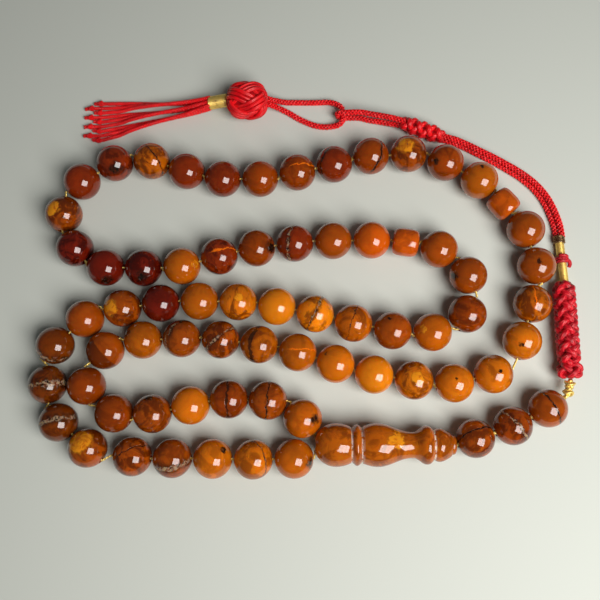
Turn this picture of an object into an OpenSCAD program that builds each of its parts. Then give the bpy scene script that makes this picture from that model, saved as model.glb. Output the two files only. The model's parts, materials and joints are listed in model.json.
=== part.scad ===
// Prayer beads laid on a table: three strings of twenty-two beads on one closed thread, two barrel
// separators, a turned leader that gathers both ends, a tail of three beads, a knotted sleeve and a
// braided cord that ends in a ball knot and a tassel. Millimetres, +Z up, table at Z = 0.

/* [Beads] */
// Diameter of a bead of the loop
bead_d = 9.2; // [9:0.05:9.25]
// Length of a bead along its bore, between the small flats round the holes
bead_len = 8.9; // [8.4:0.05:8.95]
// Diameter of the hole through every bead
bore_d = 1.5; // [1.2:0.1:1.6]
// Diameter of a bead of the tail
tail_bead_d = 9; // [8.4:0.1:9]
// Centre to centre of the first beads, which lie snug
snug_pitch = 9.25; // [9.25:0.01:9.28]
// Centre to centre of the other beads of the first string
pitch_first = 9.45; // [9.42:0.01:9.48]
// Centre to centre of the beads of the second and third strings
pitch_rest = 9.5; // [9.48:0.01:9.52]
// Centre of a separator to the centre of a bead beside it
separator_pitch = 8.3; // [8.25:0.05:8.35]

/* [Separators] */
// Largest diameter of a separator
separator_d = 6.9; // [6:0.1:7.2]
// Length of a separator along its bore
separator_len = 6.2; // [5.4:0.1:6.4]
// Diameter of a separator's flat ends
separator_end_d = 4.8; // [4:0.1:5.2]

/* [Leader] */
// Length of the leader
leader_len = 32.4; // [32:0.1:32.6]
// Diameter of the leader's knob
knob_d = 10; // [9.6:0.1:10]
// Diameter of the disc between the knob and the vase
disc_d = 9.6; // [9:0.1:9.8]
// Largest diameter of the vase
vase_d = 10; // [9.4:0.1:10]
// Diameter of the vase's waist
waist_d = 6; // [5.4:0.1:6.6]
// Diameter of the vase's rim
rim_d = 8.9; // [8.4:0.1:9.4]
// Largest diameter of the finial
finial_d = 7.7; // [7:0.1:8]
// Diameter of the hole through the leader
leader_bore_d = 2; // [1.8:0.1:2.2]

/* [Cords] */
// Diameter of the gold thread that carries the beads
thread_d = 0.6; // [0.5:0.05:0.6]
// Diameter of the two threads twisted together in the tail
tail_thread_d = 1.1; // [0.9:0.05:1.1]
// Diameter of the red braided cord
cord_d = 1.5; // [1.4:0.05:1.5]
// Diameter of a strand of the tassel
strand_d = 1; // [0.8:0.05:1]

/* [Sleeve, knots and tassel] */
// Diameter of the knotted sleeve
sleeve_d = 5.8; // [5.4:0.1:5.8]
// Diameter of the knot that closes the sleeve
sleeve_knot_d = 6.6; // [6:0.1:6.6]
// Diameter of the gold whipping above the sleeve
whipping_d = 2; // [1.8:0.05:2.1]
// Diameter of the red ring round the whipping
ring_d = 2.9; // [2.6:0.1:3]
// Diameter of the snake knot
snake_d = 4.9; // [4.5:0.1:4.9]
// Length of the ball knot along the tassel
ball_len = 11.8; // [11.4:0.1:11.8]
// Height of the ball knot
ball_d = 10.2; // [10:0.1:10.2]
// Diameter of the gold ferrule
ferrule_d = 3.4; // [3:0.1:3.5]

/* [Hidden] */
$fn = 48;
strings = 3;
beads_per_string = 22;
bead_total = strings * beads_per_string;
tail_bead_total = 3;
strand_total = 9;
// Beads at the tight turns, each on a stretch of thread of its own. The others go in pairs on one line
single_beads = [1, 6, 7, 8, 35, 36, 45, 46, 47, 48, 59, 62];
slack_after_18 = 1.2;
slack_after_61 = 1.4;
// The middle of the laid-out string, which stands on the origin
layout_middle = [1.15, 6.75, 0];
sides = 8;
mouth_gap = 0.15;
slide_travel = 1.2;
face_gap = 0.02;
// Room left at a face that is cut a little askew
skew_gap = 0.3;

bead_z = bead_d / 2;
leader_x = 3.8;
leader_y = -35.3;
leader_z = knob_d / 2;
tail_z = tail_bead_d / 2;
strand_pitch = strand_d + 0.04;
strand_end_pitch = 1.3;

// Route of the thread round the loop, from the leader back to the leader
loop_route = [
    [3.5, -35], [0.8, -29.2], [-7.5, -25], [-20, -25], [-34, -28], [-44, -28], [-51, -22],
    [-47, -13], [-38, -10.5], [-19, -10.5], [-1, -13.5], [18, -19], [37, -21], [46.5, -18.5],
    [53, -11], [56, -2], [57.5, 8], [55, 17.5], [50, 23.5], [44.5, 29.5], [36.5, 34],
    [27, 36.5], [18, 36], [0, 32], [-15, 30], [-28, 32.5], [-38, 35.5], [-47, 35],
    [-55.5, 30], [-59.5, 21], [-55.5, 12], [-47.5, 7.5], [-38, 7.5], [-28, 8], [-15, 11.5],
    [0, 13.5], [19, 14], [34.5, 11.5], [41, 5], [40, -5], [31, -9], [17, -7.5],
    [-2, -3], [-20, -1], [-39, -2], [-52, -5], [-59.5, -12], [-60.5, -21.5], [-57, -30.5],
    [-49, -36.5], [-39, -38], [-20, -38.5], [-1.5, -38.5], [3.5, -37]
];

// Centres of the tail's beads, between the leader's tip and the end knot
tail_route = [[36.2, -35.3], [40.8, -33.8], [49.6, -30.9], [57.9, -26.9], [61.9, -24.4]];

// The sleeve and the whippings above it
knot_start = [63.25, -23.6, 3.55];
knot_end = [64, -21.5, 3.4];
sleeve_start = [64.1, -20.6, 3.3];
sleeve_end = [64.1, 2.8, 3.3];
whipping_start = [64.9, 2.82, 1.9];
ring_start = [64.8, 8.4, 1.5];
ring_end = [64.7, 10.8, 1.5];
whipping_end = [64.5, 15.4, 1.4];

// The lower cord from the whipping to the snake knot, and how far the upper cord leans off it
cord_route = [
    [64.1, 16], [63.9, 17.8], [63.4, 20], [62.6, 22.5], [61.5, 25], [59.7, 27.7], [57.5, 30],
    [55, 32], [52, 34], [49, 35.9], [46, 37.6], [43, 39.3], [40, 40.8], [38, 41.5], [36.5, 42]
];
lean_start = 1.1;
lean_end = 0.3;
cord_stack = cord_d + 0.05;

// The snake knot, and the eye beyond it. The eye stands on edge round the tassel's loop
snake_start = [36.4, 42, snake_d / 2];
snake_end = [26.9, 45.9, snake_d / 2];
eye_centre = [11.35, 48.35, 2.3];
eye_r = cord_d / 2 + 0.8;
eye_upper = [[26.7, 46.2, 3.3], [24, 46.9, 3.4], [21, 47.5, 3.5], [18, 48, 3.7], [15.5, 48.4, 3.85]];
eye_lower = [[15.5, 48.3, 0.75], [18, 47.6, 0.8], [21, 47, 0.9], [24, 46.3, 1.1], [26.7, 45.6, 1.5]];

// The tassel's loop, from the ball knot through the eye and back
tassel_route = [
    [-7.6, 52.6, 3.6], [-6, 52.8, 2.1], [-3.5, 52.9, 0.9], [-1, 52.9, 0.75], [2.5, 52.8, 0.75],
    [5, 52.8, 0.75], [7.5, 52.7, 1], [9.5, 51.9, 1.6], [10.9, 50.5, 2.1], [11.45, 48.35, 2.3],
    [11.1, 46.9, 2.1], [10, 46, 1.6], [8.2, 45.8, 1.1], [6.2, 45.9, 0.8], [4, 46.3, 0.75],
    [1.8, 47.2, 0.75], [-0.5, 48.4, 0.75], [-2.8, 49.9, 0.75], [-4.8, 50.8, 1.2], [-6, 51.05, 2],
    [-7.6, 51, 3.4]
];
ball_centre = [-13.4, 51.5, ball_d / 2];
ferrule_start = [-19.3, 52.2, 4];
ferrule_end = [-23.4, 52.1, 2.9];
skirt_start = [-23.85, 52.1, 2.86];
skirt_end = [-52.5, 48.4, strand_d / 2];

// Small helpers
function unit(v) = v / norm(v);
function at_height(p, z) = [p[0], p[1], z];
function padded(n) = n < 10 ? str("0", n) : str(n);
function has(list, value) = len([for (item = list) if (item == value) item]) > 0;
function total(list, i = 0) = i < len(list) ? list[i] + total(list, i + 1) : 0;

// A smooth curve through the points of a route
function corner(route, i) =
    i < 0 ? 2 * route[0] - route[1]
    : i >= len(route) ? 2 * route[len(route) - 1] - route[len(route) - 2]
    : route[i];
function curve(p0, p1, p2, p3, u) =
    (2 * p1 + (p2 - p0) * u + (2 * p0 - 5 * p1 + 4 * p2 - p3) * u * u
    + (3 * p1 - p0 - 3 * p2 + p3) * u * u * u) / 2;
function along(route, t) =
    let (i = min(floor(t), len(route) - 2))
    curve(corner(route, i - 1), corner(route, i), corner(route, i + 1), corner(route, i + 2), t - i);
// The place further along a route that is a straight distance from the place t
function reach(route, from, low, high, distance, rounds) =
    rounds == 0 ? (low + high) / 2
    : let (middle = (low + high) / 2)
      norm(along(route, middle) - from) < distance
      ? reach(route, from, middle, high, distance, rounds - 1)
      : reach(route, from, low, middle, distance, rounds - 1);
function step(route, t, distance) =
    reach(route, along(route, t), t, min(t + 2.2, len(route) - 1), distance, 24);

// Where the beads lie: each one a pitch further along the loop, and two steps round a separator
function pitch_after(bead) =
    (bead < 6 ? snug_pitch : bead < beads_per_string ? pitch_first : pitch_rest)
    + (bead == 18 ? slack_after_18 : 0) + (bead == 61 ? slack_after_61 : 0);
function ends_string(bead) = bead % beads_per_string == 0;
function next_bead(t, bead) =
    ends_string(bead)
    ? step(loop_route, step(loop_route, t, separator_pitch), separator_pitch)
    : step(loop_route, t, pitch_after(bead));
bead_places = [for (b = 1, t = 1; b <= bead_total; t = next_bead(t, b), b = b + 1) t];
function bead_centre(bead) = at_height(along(loop_route, bead_places[bead - 1]), bead_z);
function separator_centre(number) =
    at_height(along(loop_route, step(loop_route, bead_places[number * beads_per_string - 1],
    separator_pitch)), bead_z);

// The beads in their groups: one bead at a tight turn, or two on one line
function grouped(bead) =
    bead > bead_total ? []
    : has(single_beads, bead) ? concat([[bead]], grouped(bead + 1))
    : concat([[bead, bead + 1]], grouped(bead + 2));
bead_groups = grouped(1);
function group_name(group) =
    len(group) == 1 ? str("bead_", padded(group[0]))
    : str("beads_", padded(group[0]), "_", padded(group[1]));
leader_mouth = [leader_x, leader_y, bead_z];
function before(bead) =
    bead == 1 ? leader_mouth
    : ends_string(bead - 1) ? separator_centre((bead - 1) / beads_per_string)
    : bead_centre(bead - 1);
function after(bead) =
    ends_string(bead) ? separator_centre(bead / beads_per_string) : bead_centre(bead + 1);
// The first bead turns its hole towards the leader
function single_axis(bead) =
    let (share = bead == 1 ? 0.7 : 0.5)
    unit(share * unit(bead_centre(bead) - before(bead))
    + (1 - share) * unit(after(bead) - bead_centre(bead)));
function group_axis(group) =
    len(group) == 1 ? single_axis(group[0]) : unit(bead_centre(group[1]) - bead_centre(group[0]));
function separator_axis(number) =
    let (bead = number * beads_per_string)
    unit(bead_centre(bead + 1) - bead_centre(bead));

// The straight stretch of thread through one group, from mouth to mouth
function lead_in(group) = mouth_gap + (group[0] == 62 ? slide_travel : 0);
function group_thread(group) =
    let (axis = group_axis(group), half = bead_len / 2)
    [bead_centre(group[0]) - (half + lead_in(group)) * axis,
    bead_centre(group[len(group) - 1]) + (half + mouth_gap) * axis];
function separator_thread(number) =
    let (centre = separator_centre(number), axis = separator_axis(number), half = separator_len / 2)
    [centre - (half + mouth_gap) * axis, centre + (half + mouth_gap) * axis];
function thread_from(i) =
    i >= len(bead_groups) ? []
    : let (group = bead_groups[i], last = group[len(group) - 1])
      concat(group_thread(group),
      ends_string(last) && last < bead_total ? separator_thread(last / beads_per_string) : [],
      thread_from(i + 1));
strand_gap = thread_d / 2 + 0.05;
thread_in_leader = 2.5;
loop_thread_path = concat(
    [[leader_x + thread_in_leader, leader_y + strand_gap, leader_z],
    [leader_x + 0.3, leader_y + strand_gap + 0.1, leader_z], [leader_x - 0.6, leader_y + 1.3, bead_z]],
    thread_from(0),
    [[leader_x - 0.7, leader_y - 1.9, bead_z], [leader_x + 0.1, leader_y - strand_gap - 0.2, leader_z],
    [leader_x + thread_in_leader, leader_y - strand_gap, leader_z]]);

// The tail's beads and its thread
function tail_centre(number) = at_height(tail_route[number], tail_z);
function tail_axis(number) =
    unit(at_height(tail_route[number + 1] - tail_route[number - 1], 0));
function tail_bead_thread(number) =
    let (half = tail_bead_d / 2 + mouth_gap)
    [tail_centre(number) - half * tail_axis(number), tail_centre(number) + half * tail_axis(number)];
tail_thread_path = concat(
    [[leader_x + thread_in_leader + face_gap, leader_y, leader_z],
    [leader_x + leader_len - 0.3, leader_y, leader_z]],
    [for (n = [1:tail_bead_total], p = tail_bead_thread(n)) p],
    [at_height(tail_route[4], 4)]);

// A round tube along a path. diameter is one size, or a list with one for each point. level is a
// direction that the path never runs along
module tube(path, diameter, level = [0, 0, 1]) {
    last = len(path) - 1;
    radii = [for (i = [0:last]) (is_list(diameter) ? diameter[i] : diameter) / 2];
    directions = [for (i = [0:last]) unit(path[min(i + 1, last)] - path[max(i - 1, 0)])];
    across = [for (d = directions) unit(cross(d, level))];
    rings = [for (i = [0:last]) for (k = [0:sides - 1])
        let (angle = 360 * (k + 0.5) / sides, up = cross(across[i], directions[i]))
        path[i] + radii[i] * (cos(angle) * across[i] + sin(angle) * up)];
    walls = [for (i = [0:last - 1]) for (k = [0:sides - 1])
        [i * sides + k, i * sides + (k + 1) % sides, (i + 1) * sides + (k + 1) % sides,
        (i + 1) * sides + k]];
    first_end = [for (k = [0:sides - 1]) sides - 1 - k];
    last_end = [for (k = [0:sides - 1]) last * sides + k];
    polyhedron(points = rings, faces = concat([first_end], walls, [last_end]));
}

// Stands its children, drawn along +Z from the origin, at a point and facing a direction
module facing(point, direction) {
    d = unit(direction);
    translate(point) rotate([0, acos(d[2]), atan2(d[1], d[0])]) children();
}

module bored_bead(diameter, length, hole) {
    difference() {
        intersection() {
            sphere(d = diameter);
            cylinder(d = diameter + 1, h = length, center = true);
        }
        cylinder(d = hole, h = length + 1, center = true);
    }
}

module bead_group(group) {
    // The middle string is a deeper red-brown than the other two
    shade = group[0] > beads_per_string && group[0] <= 2 * beads_per_string ? "#8a3a12" : "#b8660e";
    color(shade)
        for (bead = group)
            facing(bead_centre(bead), group_axis(group)) bored_bead(bead_d, bead_len, bore_d);
}

module separator(number) {
    bulge = (separator_d - separator_end_d) / 2;
    outline = concat(
        [[0, -separator_len / 2]],
        [for (i = [0:10])
            let (s = -1 + i / 5)
            [separator_end_d / 2 + bulge * pow(1 - pow(abs(s), 4), 0.5), s * separator_len / 2]],
        [[0, separator_len / 2]]);
    color("#d06a10")
        facing(separator_centre(number), separator_axis(number))
            difference() {
                rotate_extrude() polygon(outline);
                cylinder(d = bore_d, h = separator_len + 1, center = true);
            }
}

// A turned cove from one radius to another, between two stations of the leader
function cove(z0, z1, r0, r1, steps) =
    [for (i = [0:steps]) [r0 + (r1 - r0) * (1 - cos(180 * i / steps)) / 2, z0 + (z1 - z0) * i / steps]];
// A turned swell between two stations, from a starting radius up to its largest and back
function swell(z0, z1, edge, top, steps) =
    [for (i = [0:steps]) [edge + (top - edge) * sin(180 * i / steps), z0 + (z1 - z0) * i / steps]];

module leader() {
    knob_r = knob_d / 2;
    knob_middle = 4.7;
    knob_end = 8.2;
    knob = [for (i = [0:12])
        let (
            z = knob_end * (1 - cos(180 * i / 12)) / 2,
            reach = z > knob_middle ? 6.3 : 5.22
        )
        [knob_r * sqrt(1 - pow((z - knob_middle) / reach, 2)), z]];
    outline = concat(
        [[0, 0]],
        knob,
        [[3.9, 8.45]],
        swell(8.7, 10.5, 4.1, disc_d / 2, 8),
        [[4, 10.75]],
        [for (i = [0:6]) [4.3 + (vase_d / 2 - 4.3) * sin(90 * i / 6), 11 + 3.2 * i / 6]],
        cove(14.6, 22.2, vase_d / 2, waist_d / 2, 10),
        cove(22.6, 25.7, waist_d / 2, rim_d / 2, 8),
        [[rim_d / 2 - 0.1, 26.2], [3.7, 27]],
        [[3.4, 27.3]],
        [[3.6, 27.6], [finial_d / 2, 28.5], [3.6, 29.4], [2.6, 31.2]],
        [[2.1, 31.4], [1.9, 32], [1.6, leader_len]],
        [[0, leader_len]]);
    color("#9c4a10")
        facing([leader_x, leader_y, leader_z], [1, 0, 0])
            difference() {
                rotate_extrude() polygon(outline);
                translate([0, 0, -1]) cylinder(d = leader_bore_d, h = leader_len + 2);
                translate([0, 0, -0.01]) cylinder(d1 = 4, d2 = leader_bore_d, h = 1.3);
            }
}

module tail_bead(number) {
    color("#a04c12")
        facing(tail_centre(number), tail_axis(number))
            bored_bead(tail_bead_d, tail_bead_d, bore_d);
}

module loop_thread() {
    color("#d8a838") tube(loop_thread_path, thread_d);
}

module tail_thread() {
    color("#d8a838") tube(tail_thread_path, tail_thread_d);
}

// Three gold lumps where the tail's thread is tied off
module end_knot() {
    lumps = 3;
    color("#d8a838")
        for (i = [0:lumps - 1])
            translate(knot_start + (knot_end - knot_start) * i / (lumps - 1))
                sphere(d = 2.5 - 0.2 * i);
}

// A round braid with a bump for each turn, and a fat knot at its lower end
module knotted_sleeve() {
    length = norm(sleeve_end - sleeve_start);
    turns = 7;
    knot_len = 4.6;
    bump = 0.35;
    pitch = (length - knot_len) / turns;
    outline = concat(
        [[0, 0.3], [1.1, 0.3]],
        [for (i = [0:8]) [sleeve_knot_d / 2 * pow(sin(20 + 140 * i / 8), 0.5), knot_len * (i + 0.6) / 9]],
        [for (turn = [0:turns - 1], i = [0:5])
            [sleeve_d / 2 - bump + bump * sin(180 * i / 5), knot_len + pitch * (turn + i / 6 + 0.05)]],
        [[2.2, length], [0, length]]);
    color("#b8102c") facing(sleeve_start, sleeve_end - sleeve_start) rotate_extrude() polygon(outline);
}

module lower_whipping() {
    color("#d0a030")
        facing(whipping_start, ring_start - whipping_start)
            cylinder(d = whipping_d, h = norm(ring_start - whipping_start) - skew_gap);
}

// Two turns of red cord round the core, with a short free end
module red_ring() {
    length = norm(ring_end - ring_start);
    turn_d = length / 2;
    color("#c01228") {
        facing(ring_start, ring_end - ring_start) {
            cylinder(d = 1.4, h = length - face_gap);
            for (turn = [0:1])
                translate([0, 0, turn_d * (turn + 0.5)])
                    rotate_extrude() translate([ring_d / 2 - turn_d / 2, 0]) circle(d = turn_d - face_gap);
        }
        facing(ring_start + [0.4, 0.95, 0.2], [1, -0.45, -0.1]) {
            cylinder(d = 0.9, h = 1.8);
            translate([0, 0, 1.8]) sphere(d = 0.9);
        }
    }
}

// The upper whipping, with a wider collar where it grips the cords
module upper_whipping() {
    length = norm(whipping_end - ring_end);
    collar_len = 1.6;
    color("#c8962c")
        facing(ring_end, whipping_end - ring_end) {
            cylinder(d = whipping_d, h = length - collar_len);
            translate([0, 0, length - collar_len]) cylinder(d = 2.6, h = collar_len);
        }
}

module lower_cord() {
    color("#d01020") tube([for (p = cord_route) at_height(p, cord_d / 2)], cord_d);
}

// The upper cord rides on the lower one, and leans off it by less and less
function lean(i) = lean_start + (lean_end - lean_start) * i / (len(cord_route) - 1);
function cord_direction(i) =
    unit(corner(cord_route, i + 1) - corner(cord_route, i - 1));
upper_cord_path = [for (i = [0:len(cord_route) - 1])
    let (d = cord_direction(i), side = [d[1], -d[0]] * lean(i))
    at_height(cord_route[i] + side, cord_d / 2 + sqrt(pow(cord_stack, 2) - pow(lean(i), 2)))];
module upper_cord() {
    color("#d01020") tube(upper_cord_path, cord_d);
}

// Four turns of a snake knot
module snake_knot() {
    turns = 4;
    length = norm(snake_end - snake_start);
    bump = 0.45;
    outline = concat(
        [[0, 0]],
        [for (turn = [0:turns - 1], i = [0:6])
            [snake_d / 2 - bump + bump * sin(180 * i / 6), length * (turn + (i + 0.3) / 6.6) / turns]],
        [[0, length]]);
    color("#c01028") facing(snake_start, snake_end - snake_start) rotate_extrude() polygon(outline);
}

// Both legs of the cord beyond the snake knot, and the upright bend between them
module cord_eye() {
    back = unit([26.7, 45.9, 0] - at_height(eye_centre, 0));
    bend = [for (i = [0:8])
        let (angle = 90 + 180 * i / 8)
        eye_centre + eye_r * (cos(angle) * back + sin(angle) * [0, 0, 1])];
    color("#d01020")
        tube(concat(eye_upper, bend, eye_lower), cord_d, cross([0, 0, 1], back));
}

module tassel_loop() {
    color("#d01020") tube(tassel_route, cord_d);
}

module ball_knot() {
    steps = 24;
    outline = [for (i = [0:steps]) [ball_d / 2 * sin(180 * i / steps), -ball_len / 2 * cos(180 * i / steps)]];
    color("#d01024") facing(ball_centre, [1, 0, 0]) rotate_extrude() polygon(outline);
}

module tassel_ferrule() {
    length = norm(ferrule_end - ferrule_start);
    color("#d0a030")
        facing(ferrule_start, ferrule_end - ferrule_start)
            cylinder(d = ferrule_d, h = length);
}

// One strand: its column and its row in the bundle at the ferrule, and the fan at its end
function strand_point(number, u) =
    let (
        column = floor(number / 3),
        row = number % 3,
        spread = strand_end_pitch * u,
        stack = sqrt(max(0, strand_pitch * strand_pitch - spread * spread)),
        drop = pow(max(0, 1 - u / 0.35), 2),
        floor_z = strand_d / 2 + (skirt_start[2] - strand_pitch - strand_d / 2) * drop,
        middle = skirt_start + (skirt_end - skirt_start) * u,
        sideways = (1 - column) * (strand_pitch * (1 - u) + 3 * spread) + (1 - row) * spread
    )
    [middle[0], middle[1] + sideways, floor_z + row * stack];
// The knot at a strand's tip: how far each of its rings is beyond the fan, its height and its size
strand_knot = [[0.3, 0.75, 1.5], [1.2, 0.75, 1.5], [1.5, 0.6, 0.8], [2.7, 0.5, 0.8]];
module strand(number) {
    steps = 10;
    longer = 2.4 * (number % 2);
    fan = [for (i = [0:steps]) strand_point(number, i / steps)];
    end = at_height(fan[steps], 0) - [longer, 0, 0];
    knot = [for (ring = strand_knot) end + [-ring[0], 0, ring[1]]];
    tube(concat(fan, knot), concat([for (point = fan) strand_d], [for (ring = strand_knot) ring[2]]));
}
module tassel_strands() {
    color("#d01424") for (number = [0:strand_total - 1]) strand(number);
}

translate(-layout_middle) {
    for (group = bead_groups) bead_group(group);
    for (number = [1, 2]) separator(number);
    for (number = [1:3]) tail_bead(number);
    leader();
    loop_thread();
    tail_thread();
    end_knot();
    knotted_sleeve();
    lower_whipping();
    red_ring();
    upper_whipping();
    lower_cord();
    upper_cord();
    snake_knot();
    cord_eye();
    tassel_loop();
    ball_knot();
    tassel_ferrule();
    tassel_strands();
}
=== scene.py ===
"""Amber prayer beads on a gold thread, laid out in loops, with a leader, a knotted sleeve and a tassel.

Everything is in metres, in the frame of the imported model: +X along the leader, +Z up off the table.
"""

import json
import logging
import math
import random
from dataclasses import dataclass
from enum import Enum
from typing import Callable, Iterable, Optional, Sequence, Union

import bmesh
import bpy
from mathutils import Matrix, Vector


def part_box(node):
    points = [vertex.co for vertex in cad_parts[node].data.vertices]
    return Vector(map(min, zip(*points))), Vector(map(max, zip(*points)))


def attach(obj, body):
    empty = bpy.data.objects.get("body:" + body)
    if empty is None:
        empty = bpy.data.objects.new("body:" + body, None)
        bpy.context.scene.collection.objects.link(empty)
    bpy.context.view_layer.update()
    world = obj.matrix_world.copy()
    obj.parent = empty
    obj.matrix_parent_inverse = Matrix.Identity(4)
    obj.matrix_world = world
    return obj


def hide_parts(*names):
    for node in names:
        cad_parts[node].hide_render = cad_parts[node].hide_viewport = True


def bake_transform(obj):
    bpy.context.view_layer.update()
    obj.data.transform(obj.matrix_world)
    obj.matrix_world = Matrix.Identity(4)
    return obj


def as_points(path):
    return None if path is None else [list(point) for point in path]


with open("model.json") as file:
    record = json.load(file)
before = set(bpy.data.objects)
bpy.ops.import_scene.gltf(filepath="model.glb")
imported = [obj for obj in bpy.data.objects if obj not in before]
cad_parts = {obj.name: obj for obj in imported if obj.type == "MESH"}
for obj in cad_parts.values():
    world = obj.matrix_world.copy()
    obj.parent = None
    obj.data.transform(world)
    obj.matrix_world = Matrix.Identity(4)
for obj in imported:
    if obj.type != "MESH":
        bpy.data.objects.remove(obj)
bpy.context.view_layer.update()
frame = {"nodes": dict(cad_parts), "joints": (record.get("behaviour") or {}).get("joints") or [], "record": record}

MM = 0.001
UP = Vector((0.0, 0.0, 1.0))
LAYOUT_MIDDLE = Vector((1.15, 6.75, 0.0))
BEAD_HALF_LENGTH = 4.45 * MM
BEADS_PER_STRING = 22
STRING_ENDS = (BEADS_PER_STRING, 2 * BEADS_PER_STRING)
SLIDING_BEAD = 62
FIRST_TAIL_NUMBER = 67
FREE_CORD = 1.5 * MM
LOG = logging.getLogger("prayer_beads")

Colour = tuple[float, float, float]
Output = bpy.types.NodeSocket
Material = bpy.types.Material
Piece = bpy.types.Object
Socket = Union[Output, float, Sequence[float]]


def on_table(points: Iterable[Sequence[float]]) -> list[Vector]:
    """Turns places of the layout, in millimetres, into places in the frame, in metres."""
    return [(Vector(point) - LAYOUT_MIDDLE) * MM for point in points]


def smoothstep(low: float, high: float, value: float) -> float:
    """Rises smoothly from 0 at low to 1 at high."""
    t = min(max((value - low) / (high - low), 0.0), 1.0)
    return t * t * (3 - 2 * t)


# ---------------------------------------------------------------------------------------------
# Node graphs
# ---------------------------------------------------------------------------------------------


class Graph:
    """A material's node graph, with short ways to add and join its nodes."""

    def __init__(self, name: str) -> None:
        """Starts a material with one Principled shader.

        Args:
            name: the material's name.
        """
        self.material = bpy.data.materials.new(name)
        self.material.use_nodes = True
        self.tree = self.material.node_tree
        self.tree.nodes.clear()
        output = self.tree.nodes.new("ShaderNodeOutputMaterial")
        self.shader = self.tree.nodes.new("ShaderNodeBsdfPrincipled")
        self.tree.links.new(self.shader.outputs["BSDF"], output.inputs["Surface"])

    def plug(self, socket: Output, value: Socket) -> None:
        """Joins another node's output to a socket, or sets the socket's own value."""
        if isinstance(value, Output):
            self.tree.links.new(value, socket)
        else:
            socket.default_value = value

    def set(self, **values: Socket) -> None:
        """Sets sockets of the shader; an underscore in a name stands for a space."""
        for name, value in values.items():
            if isinstance(value, tuple) and len(value) == 3 and "Radius" not in name:
                value = (*value, 1.0)
            self.plug(self.shader.inputs[name.replace("_", " ")], value)

    def coordinates(self, kind: str) -> Output:
        """The Object or UV coordinates of the surface."""
        return self.tree.nodes.new("ShaderNodeTexCoord").outputs[kind]

    def attribute(self, name: str, output: str = "Color") -> Output:
        """A value stored on the piece's own mesh."""
        node = self.tree.nodes.new("ShaderNodeAttribute")
        node.attribute_name = name
        return node.outputs[output]

    def parts(self, colour: Socket) -> list[Output]:
        """The three channels of a colour or vector."""
        node = self.tree.nodes.new("ShaderNodeSeparateXYZ")
        self.plug(node.inputs[0], colour)
        return list(node.outputs)

    def math(self, operation: str, a: Socket, b: Socket = 0.0, clamp: bool = False) -> Output:
        """One step of arithmetic."""
        node = self.tree.nodes.new("ShaderNodeMath")
        node.operation = operation
        node.use_clamp = clamp
        self.plug(node.inputs[0], a)
        self.plug(node.inputs[1], b)
        return node.outputs[0]

    def times(self, a: Socket, b: Socket, clamp: bool = False) -> Output:
        """One value times another."""
        return self.math("MULTIPLY", a, b, clamp)

    def plus(self, a: Socket, b: Socket, clamp: bool = False) -> Output:
        """One value plus another."""
        return self.math("ADD", a, b, clamp)

    def minus(self, a: Socket, b: Socket) -> Output:
        """One value less another."""
        return self.math("SUBTRACT", a, b)

    def rise(self, value: Socket, low: Socket, high: Socket, start: float = 0.0,
             end: float = 1.0) -> Output:
        """A smooth step from start to end as value goes from low to high."""
        node = self.tree.nodes.new("ShaderNodeMapRange")
        node.interpolation_type = "SMOOTHSTEP"
        for socket, given in zip(node.inputs, (value, low, high, start, end)):
            self.plug(socket, given)
        return node.outputs[0]

    def mix(self, share: Socket, a: Socket, b: Socket, blend: str = "MIX") -> Output:
        """A mix of two colours."""
        node = self.tree.nodes.new("ShaderNodeMix")
        node.data_type = "RGBA"
        node.blend_type = blend
        for index, given in zip((0, 6, 7), (share, a, b)):
            if isinstance(given, tuple) and len(given) == 3:
                given = (*given, 1.0)
            self.plug(node.inputs[index], given)
        return node.outputs[2]

    def noise(self, place: Socket, scale: float, detail: float = 3.0, rough: float = 0.5,
              swirl: float = 0.0) -> Output:
        """A cloudy noise from 0 to 1."""
        node = self.tree.nodes.new("ShaderNodeTexNoise")
        self.plug(node.inputs["Vector"], place)
        names = ("Scale", "Detail", "Roughness", "Distortion")
        for name, given in zip(names, (scale, detail, rough, swirl)):
            node.inputs[name].default_value = given
        return node.outputs["Fac"]

    def cells(self, place: Socket, scale: float) -> Output:
        """The distance to the nearest of many scattered points."""
        node = self.tree.nodes.new("ShaderNodeTexVoronoi")
        self.plug(node.inputs["Vector"], place)
        node.inputs["Scale"].default_value = scale
        return node.outputs["Distance"]

    def stretch(self, place: Socket, scale: Sequence[float]) -> Output:
        """Coordinates stretched along their axes."""
        node = self.tree.nodes.new("ShaderNodeMapping")
        self.plug(node.inputs["Vector"], place)
        node.inputs["Scale"].default_value = scale
        return node.outputs[0]

    def bump(self, height: Socket, depth: float, strength: float = 1.0,
             below: Optional[Socket] = None) -> Output:
        """Relief on the surface, depth metres from its lowest to its highest point."""
        node = self.tree.nodes.new("ShaderNodeBump")
        node.inputs["Strength"].default_value = strength
        node.inputs["Distance"].default_value = depth
        self.plug(node.inputs["Height"], height)
        if below is not None:
            self.plug(node.inputs["Normal"], below)
        return node.outputs["Normal"]


# ---------------------------------------------------------------------------------------------
# Finishes
# ---------------------------------------------------------------------------------------------


class Tone(Enum):
    """Body colours of the amber, as linear colours."""

    GOLD = (0.651, 0.194, 0.004)
    HONEY = (0.525, 0.139, 0.003)
    TAWNY = (0.404, 0.095, 0.002)
    COGNAC = (0.299, 0.057, 0.002)
    CHESTNUT = (0.247, 0.040, 0.001)
    UMBER = (0.168, 0.032, 0.001)
    RUSSET = (0.205, 0.022, 0.002)
    GARNET = (0.138, 0.008, 0.002)
    ORANGE = (0.470, 0.082, 0.002)


class Mark(Enum):
    """What nature left in a bead."""

    CLEAR = "clear"
    CRACK = "crack"
    BAND = "band"
    CRUST = "crust"
    SEAM = "seam"
    SPLIT = "split"
    BLOT = "blot"
    CHIP = "chip"


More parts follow.
